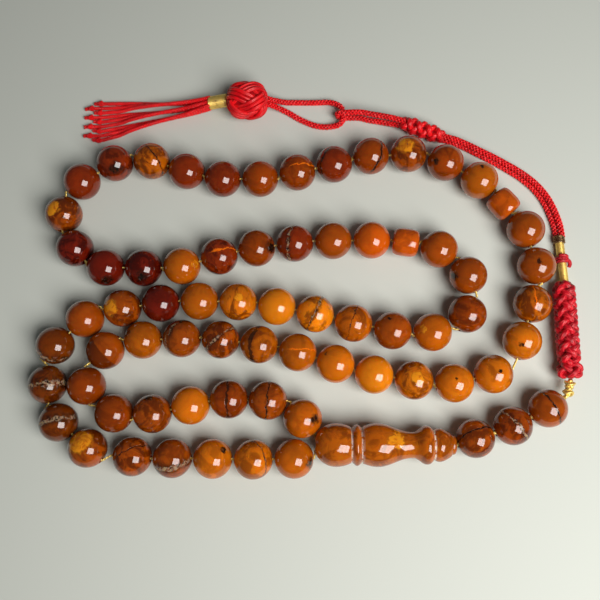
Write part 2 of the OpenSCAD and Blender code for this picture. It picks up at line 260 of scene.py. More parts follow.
@dataclass(frozen=True)
class Look:
    """How one piece of amber looks.

    Args:
        tone: body colour.
        mark: the main feature.
        x: where the feature is as the bead lies, in bead radii to the right.
        y: the same, away from the leader's side of the table.
        turn: direction that a line feature runs, in degrees from +X.
        size: width of a line, or radius of a spot, in bead radii.
        cloud: how strongly the body is clouded, from 0 to 1.
        specks: how many dark specks and pinholes it has, the pinholes darkened with painted shade, from 0 to 1.
    """

    tone: Tone
    mark: Mark = Mark.CLEAR
    x: float = 0.0
    y: float = 0.0
    turn: float = 90.0
    size: float = 0.1
    cloud: float = 0.4
    specks: float = 0.0


@dataclass(frozen=True)
class Amber:
    """Polished amber: a clouded body with cracks, crusts, blots and pits under a bright polish."""

    name: str = "polished_amber"
    gloss: float = 0.07
    cloud_scale: float = 210.0
    streak_scale: float = 520.0
    soot: Colour = (0.010, 0.005, 0.003)
    crust: Colour = (0.36, 0.23, 0.13)
    chip: Colour = (0.72, 0.27, 0.008)
    chip_shade: Colour = (0.46, 0.12, 0.004)
    seam: Colour = (0.78, 0.16, 0.003)
    chalk: Colour = (0.86, 0.80, 0.72)
    scatter: tuple[float, float, float] = (0.0032, 0.0010, 0.0002)

    def material(self) -> Material:
        """Builds the one material that every piece of amber shares.

        Returns:
            The material. It reads each piece's tone and features from attributes of its mesh.
        """
        g = Graph(self.name)
        place = g.coordinates("Object")
        local = g.attribute("amber_place", "Vector")
        tone = g.attribute("amber_tone")
        crack, crust, seam = g.parts(g.attribute("amber_lines"))
        blot, chip, split = g.parts(g.attribute("amber_spots"))
        width, specks, clouding = g.parts(g.attribute("amber_sizes"))
        residue = g.attribute("amber_residue", "Fac")
        x, y, z = g.parts(local)

        cloud = g.noise(place, self.cloud_scale, 4.0, 0.55, 1.4)
        streak = g.noise(g.stretch(place, (1.0, 0.45, 1.0)), self.streak_scale, 3.0, 0.6, 2.2)
        fine = g.noise(place, 2600.0, 3.0, 0.6)
        wander = g.minus(g.noise(place, 520.0, 4.0, 0.65, 0.3), 0.5)

        # The body: warm glowing parts, darker clouds and lighter swirls
        deep = g.mix(1.0, tone, (0.42, 0.34, 0.28), "MULTIPLY")
        light = g.mix(1.0, tone, (1.55, 1.75, 1.6), "MULTIPLY")
        glow = g.mix(1.0, tone, (1.30, 1.22, 1.0), "MULTIPLY")
        cloudy = g.times(g.rise(cloud, 0.42, 0.60), g.times(clouding, 1.35), clamp=True)
        body = g.mix(g.rise(g.noise(place, 95.0, 2.0, 0.5, 0.8), 0.42, 0.62, 0.0, 0.75), tone, glow)
        body = g.mix(cloudy, body, deep)
        body = g.mix(g.times(g.rise(streak, 0.55, 0.78), clouding), body, light)
        body = g.mix(g.times(g.rise(streak, 0.44, 0.26), g.times(clouding, 0.7)), body, deep)

        # A body of two tones, parted by a plane
        side = g.rise(g.plus(x, g.times(wander, 0.12)), -0.02, 0.02)
        body = g.mix(g.times(split, side), body, deep)

        # Lines along the feature's own direction: how far the surface is from them
        near = g.math("ABSOLUTE", g.plus(x, g.times(wander, 0.38)))
        facing = g.rise(z, 0.0, 0.35)
        ragged = g.times(width, g.rise(streak, 0.25, 0.7, 0.35, 1.3))
        line = g.rise(near, ragged, g.times(ragged, 0.45))
        halo = g.rise(near, g.times(width, 3.2), 0.0)
        seam_share = g.times(g.times(line, seam), g.rise(y, 0.15, -0.35))
        body = g.mix(seam_share, body, self.seam)
        body = g.mix(g.times(g.times(halo, crack), 0.55), body, deep)
        crack_share = g.times(g.times(line, crack), facing)
        body = g.mix(crack_share, body, self.soot)

        # Crusts: pale rough veins with soot at their edges
        crumb = g.rise(g.noise(place, 1500.0, 4.0, 0.7), 0.44, 0.56)
        crust_line = g.times(g.times(line, crust), facing)
        body = g.mix(g.times(g.times(halo, crust), g.rise(streak, 0.35, 0.6)), body, self.soot)
        crust_share = g.times(crust_line, crumb)
        body = g.mix(crust_share, body, self.crust)

        # Spots: soot blots, and clear bright chips with a thin dark edge
        spread = g.math("SQRT", g.plus(g.times(x, x), g.times(y, y)))
        spread = g.plus(spread, g.times(wander, 0.75))
        spot = g.times(g.rise(spread, width, g.times(width, 0.72)), g.rise(z, 0.0, 0.1))
        rim = g.times(spot, g.rise(spread, g.times(width, 0.78), g.times(width, 0.92)))
        flaking = g.noise(place, 480.0, 3.0, 0.55, 1.5)
        flake = g.mix(g.rise(flaking, 0.42, 0.66), self.chip, self.chip_shade)
        body = g.mix(g.times(spot, chip), body, flake)
        body = g.mix(g.times(rim, chip), body, (0.09, 0.022, 0.004))
        stain = g.times(g.rise(spread, g.times(width, 1.25), g.times(width, 0.35)), blot)
        stain = g.times(stain, g.rise(streak, 0.2, 0.55, 0.55, 1.0))
        body = g.mix(g.times(stain, g.rise(z, 0.0, 0.1)), body, self.soot)

        # Dark specks, and pinholes darkened with painted shade
        specks_and_shaded_pits = g.rise(g.cells(place, 900.0), 0.20, 0.10)
        specks_and_shaded_pits = g.times(specks_and_shaded_pits, g.rise(g.noise(place, 300.0, 1.0), 0.55, 0.62))
        specks_and_shaded_pits = g.times(specks_and_shaded_pits, specks)
        body = g.mix(specks_and_shaded_pits, body, (0.03, 0.010, 0.004))

        # Chalky polish left in the grooves
        chalky = g.times(residue, g.rise(g.noise(place, 1400.0, 2.0, 0.6), 0.36, 0.5))
        body = g.mix(chalky, body, self.chalk)

        rough = g.plus(self.gloss, g.times(g.rise(fine, 0.5, 0.8), 0.05))
        rough = g.plus(rough, g.times(g.plus(crust_share, chalky), 0.5))
        rough = g.plus(rough, g.times(specks_and_shaded_pits, 0.25), clamp=True)
        dent = g.plus(crust_line, g.plus(specks_and_shaded_pits, g.times(crack_share, 0.6)))
        relief = g.minus(g.times(g.times(crust_share, crumb), 0.9), dent)
        normal = g.bump(relief, 0.00009, 0.8)
        normal = g.bump(g.noise(place, 330.0, 2.0, 0.4), 0.00006, 0.35, normal)

        g.set(Base_Color=body, Roughness=rough, Normal=normal)
        g.set(IOR=1.54, Specular_IOR_Level=0.36, Coat_Weight=0.4, Coat_Roughness=0.04, Coat_IOR=1.55)
        g.set(Subsurface_Weight=0.45, Subsurface_Radius=self.scatter, Subsurface_Scale=1.0)
        return g.material


@dataclass(frozen=True)
class Cord:
    """Dyed nylon cord: fine plies with a painted highlight on their crowns and painted shade in the creases
    between them.
    """

    name: str
    dye: Colour
    painted_highlight: Colour
    worn_tone_and_painted_shade: Colour
    stitches: float = 0.0
    plies: float = 3.0

    def material(self) -> Material:
        """Builds the cord's material.

        Returns:
            The material. stitches above 0 also draws a braid's V stitches along the cord's own UV map.
        """
        g = Graph(self.name)
        place = g.coordinates("Object")
        along, around, _ = g.parts(g.coordinates("UV"))
        fuzz = g.noise(place, 5200.0, 3.0, 0.6)
        worn = g.noise(place, 380.0, 3.0, 0.5, 0.6)
        # A darker tone placed at random, where the cord is worn.
        body = g.mix(g.rise(worn, 0.35, 0.7), self.dye, self.worn_tone_and_painted_shade)
        if self.stitches > 0:
            run = g.times(along, self.stitches)
            column = g.math("FRACT", g.times(around, self.plies))
            fold = g.math("ABSOLUTE", g.minus(column, 0.5))
            wave = g.math("FRACT", g.plus(run, g.times(fold, 1.6)))
            crest = g.minus(1.0, g.math("ABSOLUTE", g.times(g.minus(wave, 0.5), 2.0)))
            valley = g.rise(fold, 0.10, 0.0)
            height = g.minus(crest, g.times(valley, 0.7))
        else:
            twist = g.times(g.plus(g.times(along, 90.0), g.times(around, self.plies)), math.tau)
            height = g.plus(0.5, g.times(g.math("SINE", twist), 0.5))
        # Painted shade: darker where the plies dip, in the creases between them.
        body = g.mix(g.times(g.rise(height, 0.45, 0.0), 0.55), body, self.worn_tone_and_painted_shade)
        # Painted highlight: a pale colour on the plies' crests, broken up by fine fuzz.
        highlight_share = g.times(g.rise(height, 0.62, 0.98), g.rise(fuzz, 0.3, 0.6, 0.25, 0.75))
        body = g.mix(highlight_share, body, self.painted_highlight)
        normal = g.bump(height, 0.00012, 0.55)
        normal = g.bump(fuzz, 0.00004, 0.5, normal)
        g.set(Base_Color=body, Roughness=g.rise(fuzz, 0.2, 0.8, 0.26, 0.48), Normal=normal)
        g.set(Specular_IOR_Level=0.38, Sheen_Weight=0.03, Sheen_Roughness=0.4, Sheen_Tint=(1.0, 0.35, 0.3))
        return g.material


@dataclass(frozen=True)
class Gilt:
    """Thin gold-coloured metallic thread, laid in close turns."""

    name: str
    leaf: Colour = (0.96, 0.72, 0.20)
    tarnish: Colour = (0.34, 0.16, 0.05)
    wear: float = 0.6
    sheen: float = 0.32

    def material(self) -> Material:
        """Builds the thread's material."""
        g = Graph(self.name)
        place = g.coordinates("Object")
        worn = g.noise(place, 900.0, 4.0, 0.65, 0.8)
        grain_and_painted_glint = g.noise(place, 4200.0, 2.0, 0.5)
        body = g.mix(g.rise(worn, self.wear - 0.12, self.wear + 0.16), self.leaf, self.tarnish)
        # Painted glints: paler gold flecks in the colour. The same fine noise also roughens and bumps the thread.
        body = g.mix(g.rise(grain_and_painted_glint, 0.58, 0.75), body, (1.0, 0.86, 0.48))
        g.set(Base_Color=body, Metallic=0.75,
              Roughness=g.rise(grain_and_painted_glint, 0.2, 0.8, self.sheen, self.sheen + 0.25))
        g.set(Normal=g.bump(grain_and_painted_glint, 0.00005, 0.5), Specular_IOR_Level=0.6)
        return g.material


@dataclass(frozen=True)
class Ground:
    """The plain pale table."""

    name: str = "plain_table"
    colour: Colour = (0.585, 0.62, 0.575)

    def material(self) -> Material:
        """Builds the table's material."""
        g = Graph(self.name)
        g.set(Base_Color=self.colour, Roughness=0.75, Specular_IOR_Level=0.25)
        return g.material


# ---------------------------------------------------------------------------------------------
# Making pieces
# ---------------------------------------------------------------------------------------------


def cast(work: bmesh.types.BMesh, name: str) -> bpy.types.Mesh:
    """Turns a worked shape into a mesh with a name, and frees the work."""
    mesh = bpy.data.meshes.new(name)
    work.to_mesh(mesh)
    work.free()
    return mesh


def show(mesh: bpy.types.Mesh, name: str, material: Material) -> Piece:
    """Puts a finished mesh in the scene as a smooth-shaded piece."""
    piece = bpy.data.objects.new(name, mesh)
    bpy.context.scene.collection.objects.link(piece)
    mesh.materials.clear()
    mesh.materials.append(material)
    mesh.shade_smooth()
    return piece


def settle(piece: Piece, body: str, slot: str, *nodes: str) -> Piece:
    """Rides a piece on a body and hides the CAD nodes that it stands for."""
    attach(piece, body)
    if nodes:
        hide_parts(*nodes)
    return piece


def spun(outline: Sequence[tuple[float, float]], steps: int, closed: bool = False) -> bmesh.types.BMesh:
    """Spins an outline round the Z axis.

    Args:
        outline: points as (radius, height).
        steps: how many faces go round.
        closed: True if the outline's last point joins its first, as round a bore.

    Returns:
        The spun shape, its doubles merged and its faces outward.
    """
    work = bmesh.new()
    points = [work.verts.new((radius, 0.0, height)) for radius, height in outline]
    edges = [work.edges.new(pair) for pair in zip(points, points[1:])]
    if closed:
        edges.append(work.edges.new((points[-1], points[0])))
    bmesh.ops.spin(work, geom=points + edges, cent=(0, 0, 0), axis=(0, 0, 1), angle=math.tau,
                   steps=steps, use_merge=True)
    bmesh.ops.remove_doubles(work, verts=work.verts, dist=1e-7)
    bmesh.ops.recalc_face_normals(work, faces=work.faces)
    return work


def standing(centre: Vector, axis: Vector) -> Matrix:
    """The turn and move that stands a shape's +Z along an axis, with its middle at a place."""
    turn = axis.to_track_quat("Z", "X").to_matrix().to_4x4()
    return Matrix.Translation(centre) @ turn


class Route:
    """A smooth line through chosen points, walked by its real length."""

    def __init__(self, points: Sequence[Vector], fine: int = 16, upward: Vector = UP) -> None:
        """Lays the line and carries a side direction along it without twisting.

        Args:
            points: the chosen points.
            fine: how many short steps lie between two points.
            upward: roughly which way is up at its start.
        """
        self.points = self._smooth(points, fine)
        self.marks = [0.0]
        for a, b in zip(self.points, self.points[1:]):
            self.marks.append(self.marks[-1] + (b - a).length)
        self.length = self.marks[-1]
        last = len(self.points) - 1
        self.forwards = [(self.points[min(i + 1, last)] - self.points[max(i - 1, 0)]).normalized()
                         for i in range(last + 1)]
        up = (upward - self.forwards[0] * upward.dot(self.forwards[0])).normalized()
        self.ups = [up]
        for forward in self.forwards[1:]:
            up = (up - forward * up.dot(forward)).normalized()
            self.ups.append(up)

    @staticmethod
    def _smooth(points: Sequence[Vector], fine: int) -> list[Vector]:
        """A Catmull-Rom curve through the points."""
        ends = [points[0] * 2 - points[1], *points, points[-1] * 2 - points[-2]]
        line = []
        for p0, p1, p2, p3 in zip(ends, ends[1:], ends[2:], ends[3:]):
            for step in range(fine):
                u = step / fine
                line.append((p1 * 2 + (p2 - p0) * u + (p0 * 2 - p1 * 5 + p2 * 4 - p3) * u ** 2
                             + (p1 * 3 - p0 - p2 * 3 + p3) * u ** 3) / 2)
        return [*line, points[-1].copy()]

    def at(self, distance: float) -> tuple[Vector, Vector, Vector, Vector]:
        """The place at a distance along the line, and the forward, side and up directions there."""
        low, high = 0, len(self.marks) - 1
        while high - low > 1:
            middle = (low + high) // 2
            low, high = (middle, high) if self.marks[middle] <= distance else (low, middle)
        share = (distance - self.marks[low]) / max(self.marks[high] - self.marks[low], 1e-12)
        place = self.points[low].lerp(self.points[high], share)
        forward = self.forwards[low].lerp(self.forwards[high], share).normalized()
        up = self.ups[low].lerp(self.ups[high], share).normalized()
        return place, forward, forward.cross(up).normalized(), up

    def around(self, distance: float, angle: float, radius: float) -> Vector:
        """A point beside the line, at an angle round it."""
        place, _, side, up = self.at(distance)
        return place + (side * math.cos(angle) + up * math.sin(angle)) * radius


def straight(start: Vector, end: Vector) -> Route:
    """A straight route between two places."""
    return Route([start, start.lerp(end, 0.5), end])


def strands(name: str, lines: Sequence[Sequence[Vector]], thickness: float, material: Material,
            sides: int = 6, closed: bool = False,
            plump: Optional[Callable[[float], float]] = None) -> Piece:
    """Makes round strands along lines, as one piece.

    Args:
        name: the piece's name.
        lines: the points each strand follows.
        thickness: the strands' diameter.
        material: their finish.
        sides: how many faces go round a strand: 4, 6 or 8.
        closed: True if each strand joins its own start.
        plump: the share of the thickness at each share of a strand's length.

    Returns:
        The piece, with closed ends.
    """
    curve = bpy.data.curves.new(name, "CURVE")
    curve.dimensions = "3D"
    curve.bevel_depth = thickness / 2
    curve.bevel_resolution = sides // 2 - 2
    curve.use_fill_caps = True
    for line in lines:
        spline = curve.splines.new("POLY")
        spline.points.add(len(line) - 1)
        spline.use_cyclic_u = closed
        for index, (point, place) in enumerate(zip(spline.points, line)):
            point.co = (*place, 1.0)
            point.radius = plump(index / (len(line) - 1)) if plump else 1.0
    maker = bpy.data.objects.new(name, curve)
    bpy.context.scene.collection.objects.link(maker)
    mesh = bpy.data.meshes.new_from_object(maker.evaluated_get(bpy.context.evaluated_depsgraph_get()))
    bpy.data.objects.remove(maker)
    bpy.data.curves.remove(curve)
    work = bmesh.new()
    work.from_mesh(mesh)
    bmesh.ops.remove_doubles(work, verts=work.verts, dist=1e-7)
    work.to_mesh(mesh)
    work.free()
    return show(mesh, name, material)


def joined(name: str, pieces: Sequence[Piece]) -> Piece:
    """Joins pieces into one, keeping each one's material."""
    work = bmesh.new()
    materials: list[Material] = []
    for piece in pieces:
        material = piece.data.materials[0]
        if material not in materials:
            materials.append(material)
        before = len(work.faces)
        work.from_mesh(piece.data)
        work.faces.ensure_lookup_table()
        for face in work.faces[before:]:
            face.material_index = materials.index(material)
    mesh = cast(work, name)
    for piece in pieces:
        bpy.data.objects.remove(piece)
    whole = bpy.data.objects.new(name, mesh)
    bpy.context.scene.collection.objects.link(whole)
    for material in materials:
        mesh.materials.append(material)
    mesh.shade_smooth()
    return whole


@dataclass(frozen=True)
class Braid:
    """A round braid: strands that wind both ways round a line, over and under one another.

    Args:
        each_way: how many strands wind each way.
        turn: length of one full turn of a strand.
        radius: from the line to the middle of a strand.
        swell: how far a strand rises and dips where it crosses another.
        strand: a strand's diameter.
        sides: how many faces go round a strand.
        fine: steps from one crossing to the next.
        taper: length at each end over which the braid draws in.
        pinch: how much a strand thins where it dives under another, as a share.
    """

    each_way: int
    turn: float
    radius: float
    swell: float
    strand: float
    sides: int = 6
    fine: int = 3
    taper: float = 0.0
    pinch: float = 0.0

    def lines(self, route: Route, start: float = 0.0, end: Optional[float] = None) -> list[list[Vector]]:
        """The line of every strand.

        Args:
            route: the line that the braid covers.
            start: where on it the braid starts.
            end: where it ends, or None for the route's end.

        Returns:
            One list of points for each strand.
        """
        end = route.length if end is None else end
        crossing = self.turn / (2 * self.each_way)
        count = max(int((end - start) / crossing * self.fine), 4)
        found = []
        for way in (1, -1):
            for strand in range(self.each_way):
                line = []
                for step in range(count + 1):
                    distance = start + (end - start) * step / count
                    share = (distance - start) / self.turn
                    angle = math.tau * (way * share + strand / self.each_way)
                    lift = way * math.cos(math.tau * self.each_way * share)
                    drawn = 1.0
                    if self.taper > 0:
                        drawn = 0.35 + 0.65 * math.sqrt(max(0.0, min(1.0, (distance - start) / self.taper,
                                                                      (end - distance) / self.taper)))
                    line.append(route.around(distance, angle, drawn * (self.radius + self.swell * lift)))
                found.append(line)
        return found

    def dress(self, name: str, route: Route, material: Material, core: Material,
              start: float = 0.0, end: Optional[float] = None) -> Piece:
        """Makes the braid and the core that fills it, as one piece."""
        end = route.length if end is None else end
        lines = self.lines(route, start, end)
        turns = (end - start) / self.turn * self.each_way
        covers = []
        for way, half in ((1, lines[:self.each_way]), (-1, lines[self.each_way:])):
            covers.append(strands(f"{name}_{'left' if way > 0 else 'right'}", half, self.strand, material,
                                  self.sides, plump=lambda share: 1 + self.pinch * way * math.cos(
                                      math.tau * turns * share)))
        count = max(int((end - start) / self.radius), 3)
        inner = [route.at(start + (end - start) * (0.02 + 0.96 * i / count))[0] for i in range(count + 1)]
        filling = strands(name + "_core", [inner], 2 * self.radius * 0.97, core, 8,
                          plump=lambda share: 0.4 + 0.6 * smoothstep(0.0, 0.12, min(share, 1 - share)))
        return joined(name, [*covers, filling])


@dataclass(frozen=True)
class TurkHead:
    """A woven ball knot: one closed line that goes round and back and forth, over and under itself.

    Args:
        leads: how many times it goes round.
        bights: how many scallops it makes at each end.
        length: the knot's outer size along its axis.
        width: its outer size across.
        cord: diameter of its cord.
        parallel: how many cords run side by side.
        swell: how far a band rises and dips where it crosses another.
        reach: how near the poles the bights go, in degrees.
        fine: points along one band from end to end.
    """

    leads: int
    bights: int
    length: float
    width: float
    cord: float
    parallel: int
    swell: float
    reach: float = 66.0
    fine: int = 22

    @staticmethod
    def _rise(t: float, events: Sequence[float]) -> float:
        """How far the line is over (1) or under (-1) at a share of its length."""
        index = max(i for i, event in enumerate(events) if event <= t + 1e-9)
        following = events[(index + 1) % len(events)] + (1.0 if index + 1 == len(events) else 0.0)
        share = (t - events[index]) / (following - events[index])
        return (1 if index % 2 == 0 else -1) * math.cos(math.pi * share)

    def lines(self, centre: Vector, axis: Vector) -> list[list[Vector]]:
        """The closed line of each parallel cord."""
        half_length = self.length / 2 - self.cord / 2 - self.swell
        half_width = self.width / 2 - self.cord / 2 - self.swell
        crossings = sorted({round((n / (2 * self.bights) + m / (2 * self.leads)) % 1.0, 9)
                            for n in range(2 * self.bights) for m in range(1, self.leads)})
        shift = crossings[0]
        events = [crossing - shift for crossing in crossings]
        place = standing(centre, axis)
        count = self.fine * 2 * self.bights

        def spot(t: float) -> tuple[Vector, Vector]:
            """The point on the ball at t, and the outward direction there."""
            ahead = (t - shift) % 1.0
            longitude = math.tau * self.leads * ahead + math.tau * self.leads * shift
            latitude = math.radians(self.reach) * math.cos(math.tau * self.bights * t)
            out = Vector((math.cos(latitude) * math.cos(longitude),
                          math.cos(latitude) * math.sin(longitude), math.sin(latitude)))
            point = Vector((out.x * half_width, out.y * half_width, out.z * half_length))
            return point + out * (self._rise(ahead, events) * self.swell), out

        found = []
        for cord in range(self.parallel):
            offset = (cord - (self.parallel - 1) / 2) * self.cord * 1.02
            line = []
            for step in range(count):
                t = step / count
                point, out = spot(t)
                onward = spot((t + 0.0015) % 1.0)[0] - point
                line.append(place @ (point + out.cross(onward).normalized() * offset))
            found.append(line)
        return found

    def dress(self, name: str, centre: Vector, axis: Vector, material: Material,
              core: Material) -> Piece:
        """Makes the knot and the ball that fills it, as one piece."""
        cover = strands(name + "_cover", self.lines(centre, axis), self.cord, material, 8, closed=True)
        work = bmesh.new()
        bmesh.ops.create_uvsphere(work, u_segments=48, v_segments=24, radius=1.0)
        inset = self.cord * 0.75 + self.swell
        bmesh.ops.scale(work, vec=(self.width / 2 - inset, self.width / 2 - inset, self.length / 2 - inset),
                        verts=work.verts)
        bmesh.ops.transform(work, matrix=standing(centre, axis), verts=work.verts)
        return joined(name, [cover, show(cast(work, name + "_core"), name + "_core", core)])


# ---------------------------------------------------------------------------------------------
# Amber pieces
# ---------------------------------------------------------------------------------------------


LOOKS = {
    1: Look(Tone.TAWNY, Mark.BLOT, 0.62, -0.08, size=0.3, cloud=0.3),
    2: Look(Tone.COGNAC, Mark.CRACK, 0.05, 0.0, 84, 0.045, cloud=0.5),
    3: Look(Tone.CHESTNUT, Mark.BAND, 0.0, 0.0, 90, 0.1, cloud=0.4),
    4: Look(Tone.HONEY, cloud=0.12),
    5: Look(Tone.COGNAC, Mark.BLOT, -0.1, 0.8, size=0.22, cloud=0.7, specks=0.6),
    6: Look(Tone.CHESTNUT, cloud=0.35, specks=0.5),
    7: Look(Tone.CHESTNUT, cloud=0.25),
    8: Look(Tone.COGNAC, Mark.SPLIT, -0.1, 0.05, -50, 0.03, cloud=0.3),
    9: Look(Tone.TAWNY, Mark.BLOT, -0.62, 0.3, size=0.24, cloud=0.3),
    10: Look(Tone.COGNAC, Mark.CRUST, -0.72, -0.4, 60, 0.16, cloud=0.5, specks=0.4),
    11: Look(Tone.COGNAC, Mark.CRUST, 0.2, 0.15, 40, 0.07, cloud=0.9, specks=0.3),
    12: Look(Tone.TAWNY, Mark.BAND, -0.35, 0.1, 80, 0.16, cloud=0.6),
    13: Look(Tone.TAWNY, Mark.SEAM, -0.5, 0.05, 180, 0.05, cloud=0.3),
    14: Look(Tone.HONEY, Mark.BLOT, -0.5, 0.4, size=0.1, cloud=0.2),
    15: Look(Tone.GOLD, cloud=0.15),
    16: Look(Tone.HONEY, Mark.CHIP, 0.05, 0.0, size=0.35, cloud=0.8),
    17: Look(Tone.HONEY, Mark.BLOT, -0.12, 0.15, size=0.08, cloud=0.2),
    18: Look(Tone.HONEY, Mark.BLOT, 0.15, 0.1, size=0.05, cloud=0.5),
    19: Look(Tone.HONEY, Mark.BLOT, -0.3, -0.3, size=0.13, cloud=0.3),
    20: Look(Tone.TAWNY, Mark.SEAM, -0.1, -0.5, 270, 0.06, cloud=0.8, specks=1.0),
    21: Look(Tone.COGNAC, Mark.BLOT, -0.15, 0.02, size=0.12, cloud=0.2),
    22: Look(Tone.COGNAC, cloud=0.2),
    23: Look(Tone.TAWNY, Mark.BLOT, 0.0, 0.5, size=0.07, cloud=0.2),
    24: Look(Tone.CHESTNUT, Mark.BLOT, -0.65, -0.2, size=0.2, cloud=0.4, specks=0.4),
    25: Look(Tone.COGNAC, Mark.CHIP, -0.3, 0.15, size=0.55, cloud=1.0, specks=1.0),
    26: Look(Tone.CHESTNUT, Mark.CRACK, 0.55, 0.0, 82, 0.06, cloud=0.2),
    27: Look(Tone.RUSSET, Mark.BAND, -0.6, 0.2, 60, 0.1, cloud=0.3),
    28: Look(Tone.CHESTNUT, Mark.SEAM, -0.4, 0.0, 190, 0.05, cloud=0.4),
    29: Look(Tone.CHESTNUT, cloud=0.25, specks=0.2),
    30: Look(Tone.RUSSET, cloud=0.3),
    31: Look(Tone.RUSSET, cloud=0.15),
    32: Look(Tone.TAWNY, Mark.CRACK, 0.35, 0.0, -50, 0.035, cloud=0.8),
    33: Look(Tone.RUSSET, Mark.BLOT, 0.25, -0.6, size=0.4, cloud=0.7),
    34: Look(Tone.RUSSET, cloud=0.2),
    35: Look(Tone.COGNAC, Mark.CHIP, -0.3, 0.1, size=0.45, cloud=1.0, specks=1.0),
    36: Look(Tone.GARNET, cloud=0.9, specks=0.3),
    37: Look(Tone.GARNET, Mark.BLOT, 0.2, -0.85, size=0.4, cloud=0.2),
    38: Look(Tone.GARNET, Mark.BLOT, 0.15, -0.7, size=0.45, cloud=0.8),
    39: Look(Tone.TAWNY, Mark.CHIP, 0.82, 0.0, size=0.22, cloud=0.15),
    40: Look(Tone.RUSSET, Mark.SEAM, -0.35, 0.0, 195, 0.06, cloud=1.0, specks=1.0),
    41: Look(Tone.CHESTNUT, Mark.BLOT, 0.85, -0.1, size=0.4, cloud=0.3),
    42: Look(Tone.RUSSET, Mark.CRUST, -0.3, 0.0, 80, 0.09, cloud=0.2),
    43: Look(Tone.COGNAC, cloud=0.1),
    44: Look(Tone.ORANGE, cloud=0.1),
    45: Look(Tone.COGNAC, Mark.BLOT, -0.1, 0.95, size=0.3, cloud=0.2),
    46: Look(Tone.COGNAC, Mark.BLOT, -0.88, -0.1, size=0.3, cloud=0.3),
    47: Look(Tone.CHESTNUT, cloud=0.6),
    48: Look(Tone.TAWNY, Mark.CHIP, -0.6, 0.08, size=0.2, cloud=0.2),
    49: Look(Tone.COGNAC, Mark.BLOT, -0.15, 0.5, size=0.1, cloud=0.3, specks=0.5),
    50: Look(Tone.TAWNY, Mark.CRACK, -0.2, -0.2, 70, 0.02, cloud=0.6),
    51: Look(Tone.GOLD, Mark.CRUST, 0.0, -0.1, 65, 0.05, cloud=0.7, specks=0.3),
    52: Look(Tone.GOLD, cloud=0.1),
    53: Look(Tone.HONEY, Mark.CHIP, 0.1, 0.0, size=0.3, cloud=1.0),
    54: Look(Tone.TAWNY, cloud=0.25),
    55: Look(Tone.GARNET, cloud=0.4),
    56: Look(Tone.COGNAC, Mark.CHIP, -0.5, -0.15, size=0.5, cloud=0.8),
    57: Look(Tone.COGNAC, cloud=0.2),
    58: Look(Tone.UMBER, Mark.CRUST, -0.5, -0.6, -35, 0.16, cloud=0.25),
    59: Look(Tone.UMBER, Mark.CRUST, 0.1, -0.05, 5, 0.17, cloud=0.7, specks=0.4),
    60: Look(Tone.UMBER, Mark.CRUST, 0.0, 0.1, 14, 0.13, cloud=0.5),
    61: Look(Tone.COGNAC, Mark.CHIP, -0.2, 0.4, size=0.72, cloud=0.8),
    62: Look(Tone.COGNAC, Mark.CRACK, -0.2, 0.25, 30, 0.03, cloud=0.8),
    63: Look(Tone.COGNAC, Mark.CRUST, 0.1, -0.5, 10, 0.14, cloud=0.5),
    64: Look(Tone.HONEY, Mark.BLOT, 0.6, 0.45, size=0.12, cloud=0.4),
    65: Look(Tone.HONEY, Mark.CRACK, 0.65, 0.1, 110, 0.03, cloud=0.6),
    66: Look(Tone.TAWNY, Mark.BLOT, 0.85, -0.2, size=0.36, cloud=0.15),
    67: Look(Tone.COGNAC, Mark.CRACK, -0.3, 0.4, 20, 0.05, cloud=0.8),
    68: Look(Tone.CHESTNUT, Mark.CRUST, 0.1, -0.05, -50, 0.09, cloud=0.7, specks=0.6),
    69: Look(Tone.COGNAC, Mark.CRACK, 0.05, 0.1, -62, 0.05, cloud=0.3),
}
LINE_MARKS = {Mark.CRACK: (1, 0, 0), Mark.BAND: (0.8, 0, 0), Mark.CRUST: (0, 1, 0), Mark.SEAM: (0, 0, 1)}
SPOT_MARKS = {Mark.BLOT: (1, 0, 0), Mark.CHIP: (0, 1, 0), Mark.SPLIT: (0, 0, 1)}


def grain(piece: Piece, look: Look, centre: Vector, radius: float,
          residue: Optional[Callable[[Vector], float]] = None) -> None:
    """Stores on a piece of amber what its material reads.

    Args:
        piece: the finished piece.
        look: how it looks.
        centre: the middle that its features are placed from.
        radius: the length of one bead radius there.
        residue: how much chalky polish a point holds, from 0 to 1.
    """
    mesh = piece.data
    height = math.sqrt(max(0.0, 1 - look.x ** 2 - look.y ** 2))
    outward = Vector((look.x, look.y, height)).normalized()
    run = Vector((math.cos(math.radians(look.turn)), math.sin(math.radians(look.turn)), 0.0))
    run = (run - outward * run.dot(outward)).normalized()
    across = run.cross(outward)
    placed, chalk = [], []
    for vertex in mesh.vertices:
        local = (vertex.co - centre) / radius
        placed += [local.dot(across), local.dot(run), local.dot(outward)]
        chalk.append(residue(vertex.co) if residue else 0.0)
    layers = {
        "amber_place": placed,
        "amber_tone": list(look.tone.value) * len(chalk),
        "amber_lines": list(LINE_MARKS.get(look.mark, (0, 0, 0))) * len(chalk),
        "amber_spots": list(SPOT_MARKS.get(look.mark, (0, 0, 0))) * len(chalk),
        "amber_sizes": [look.size, look.specks, look.cloud] * len(chalk),
    }
    for name, values in layers.items():
        mesh.attributes.new(name, "FLOAT_VECTOR", "POINT").data.foreach_set("vector", values)
    mesh.attributes.new("amber_residue", "FLOAT", "POINT").data.foreach_set("value", chalk)


@dataclass
class BeadSeat:
    """Where one bead sits: its number, its CAD node and body, its middle and the line of its bore."""

    number: int
    node: str
    body: str
    centre: Vector
    axis: Vector


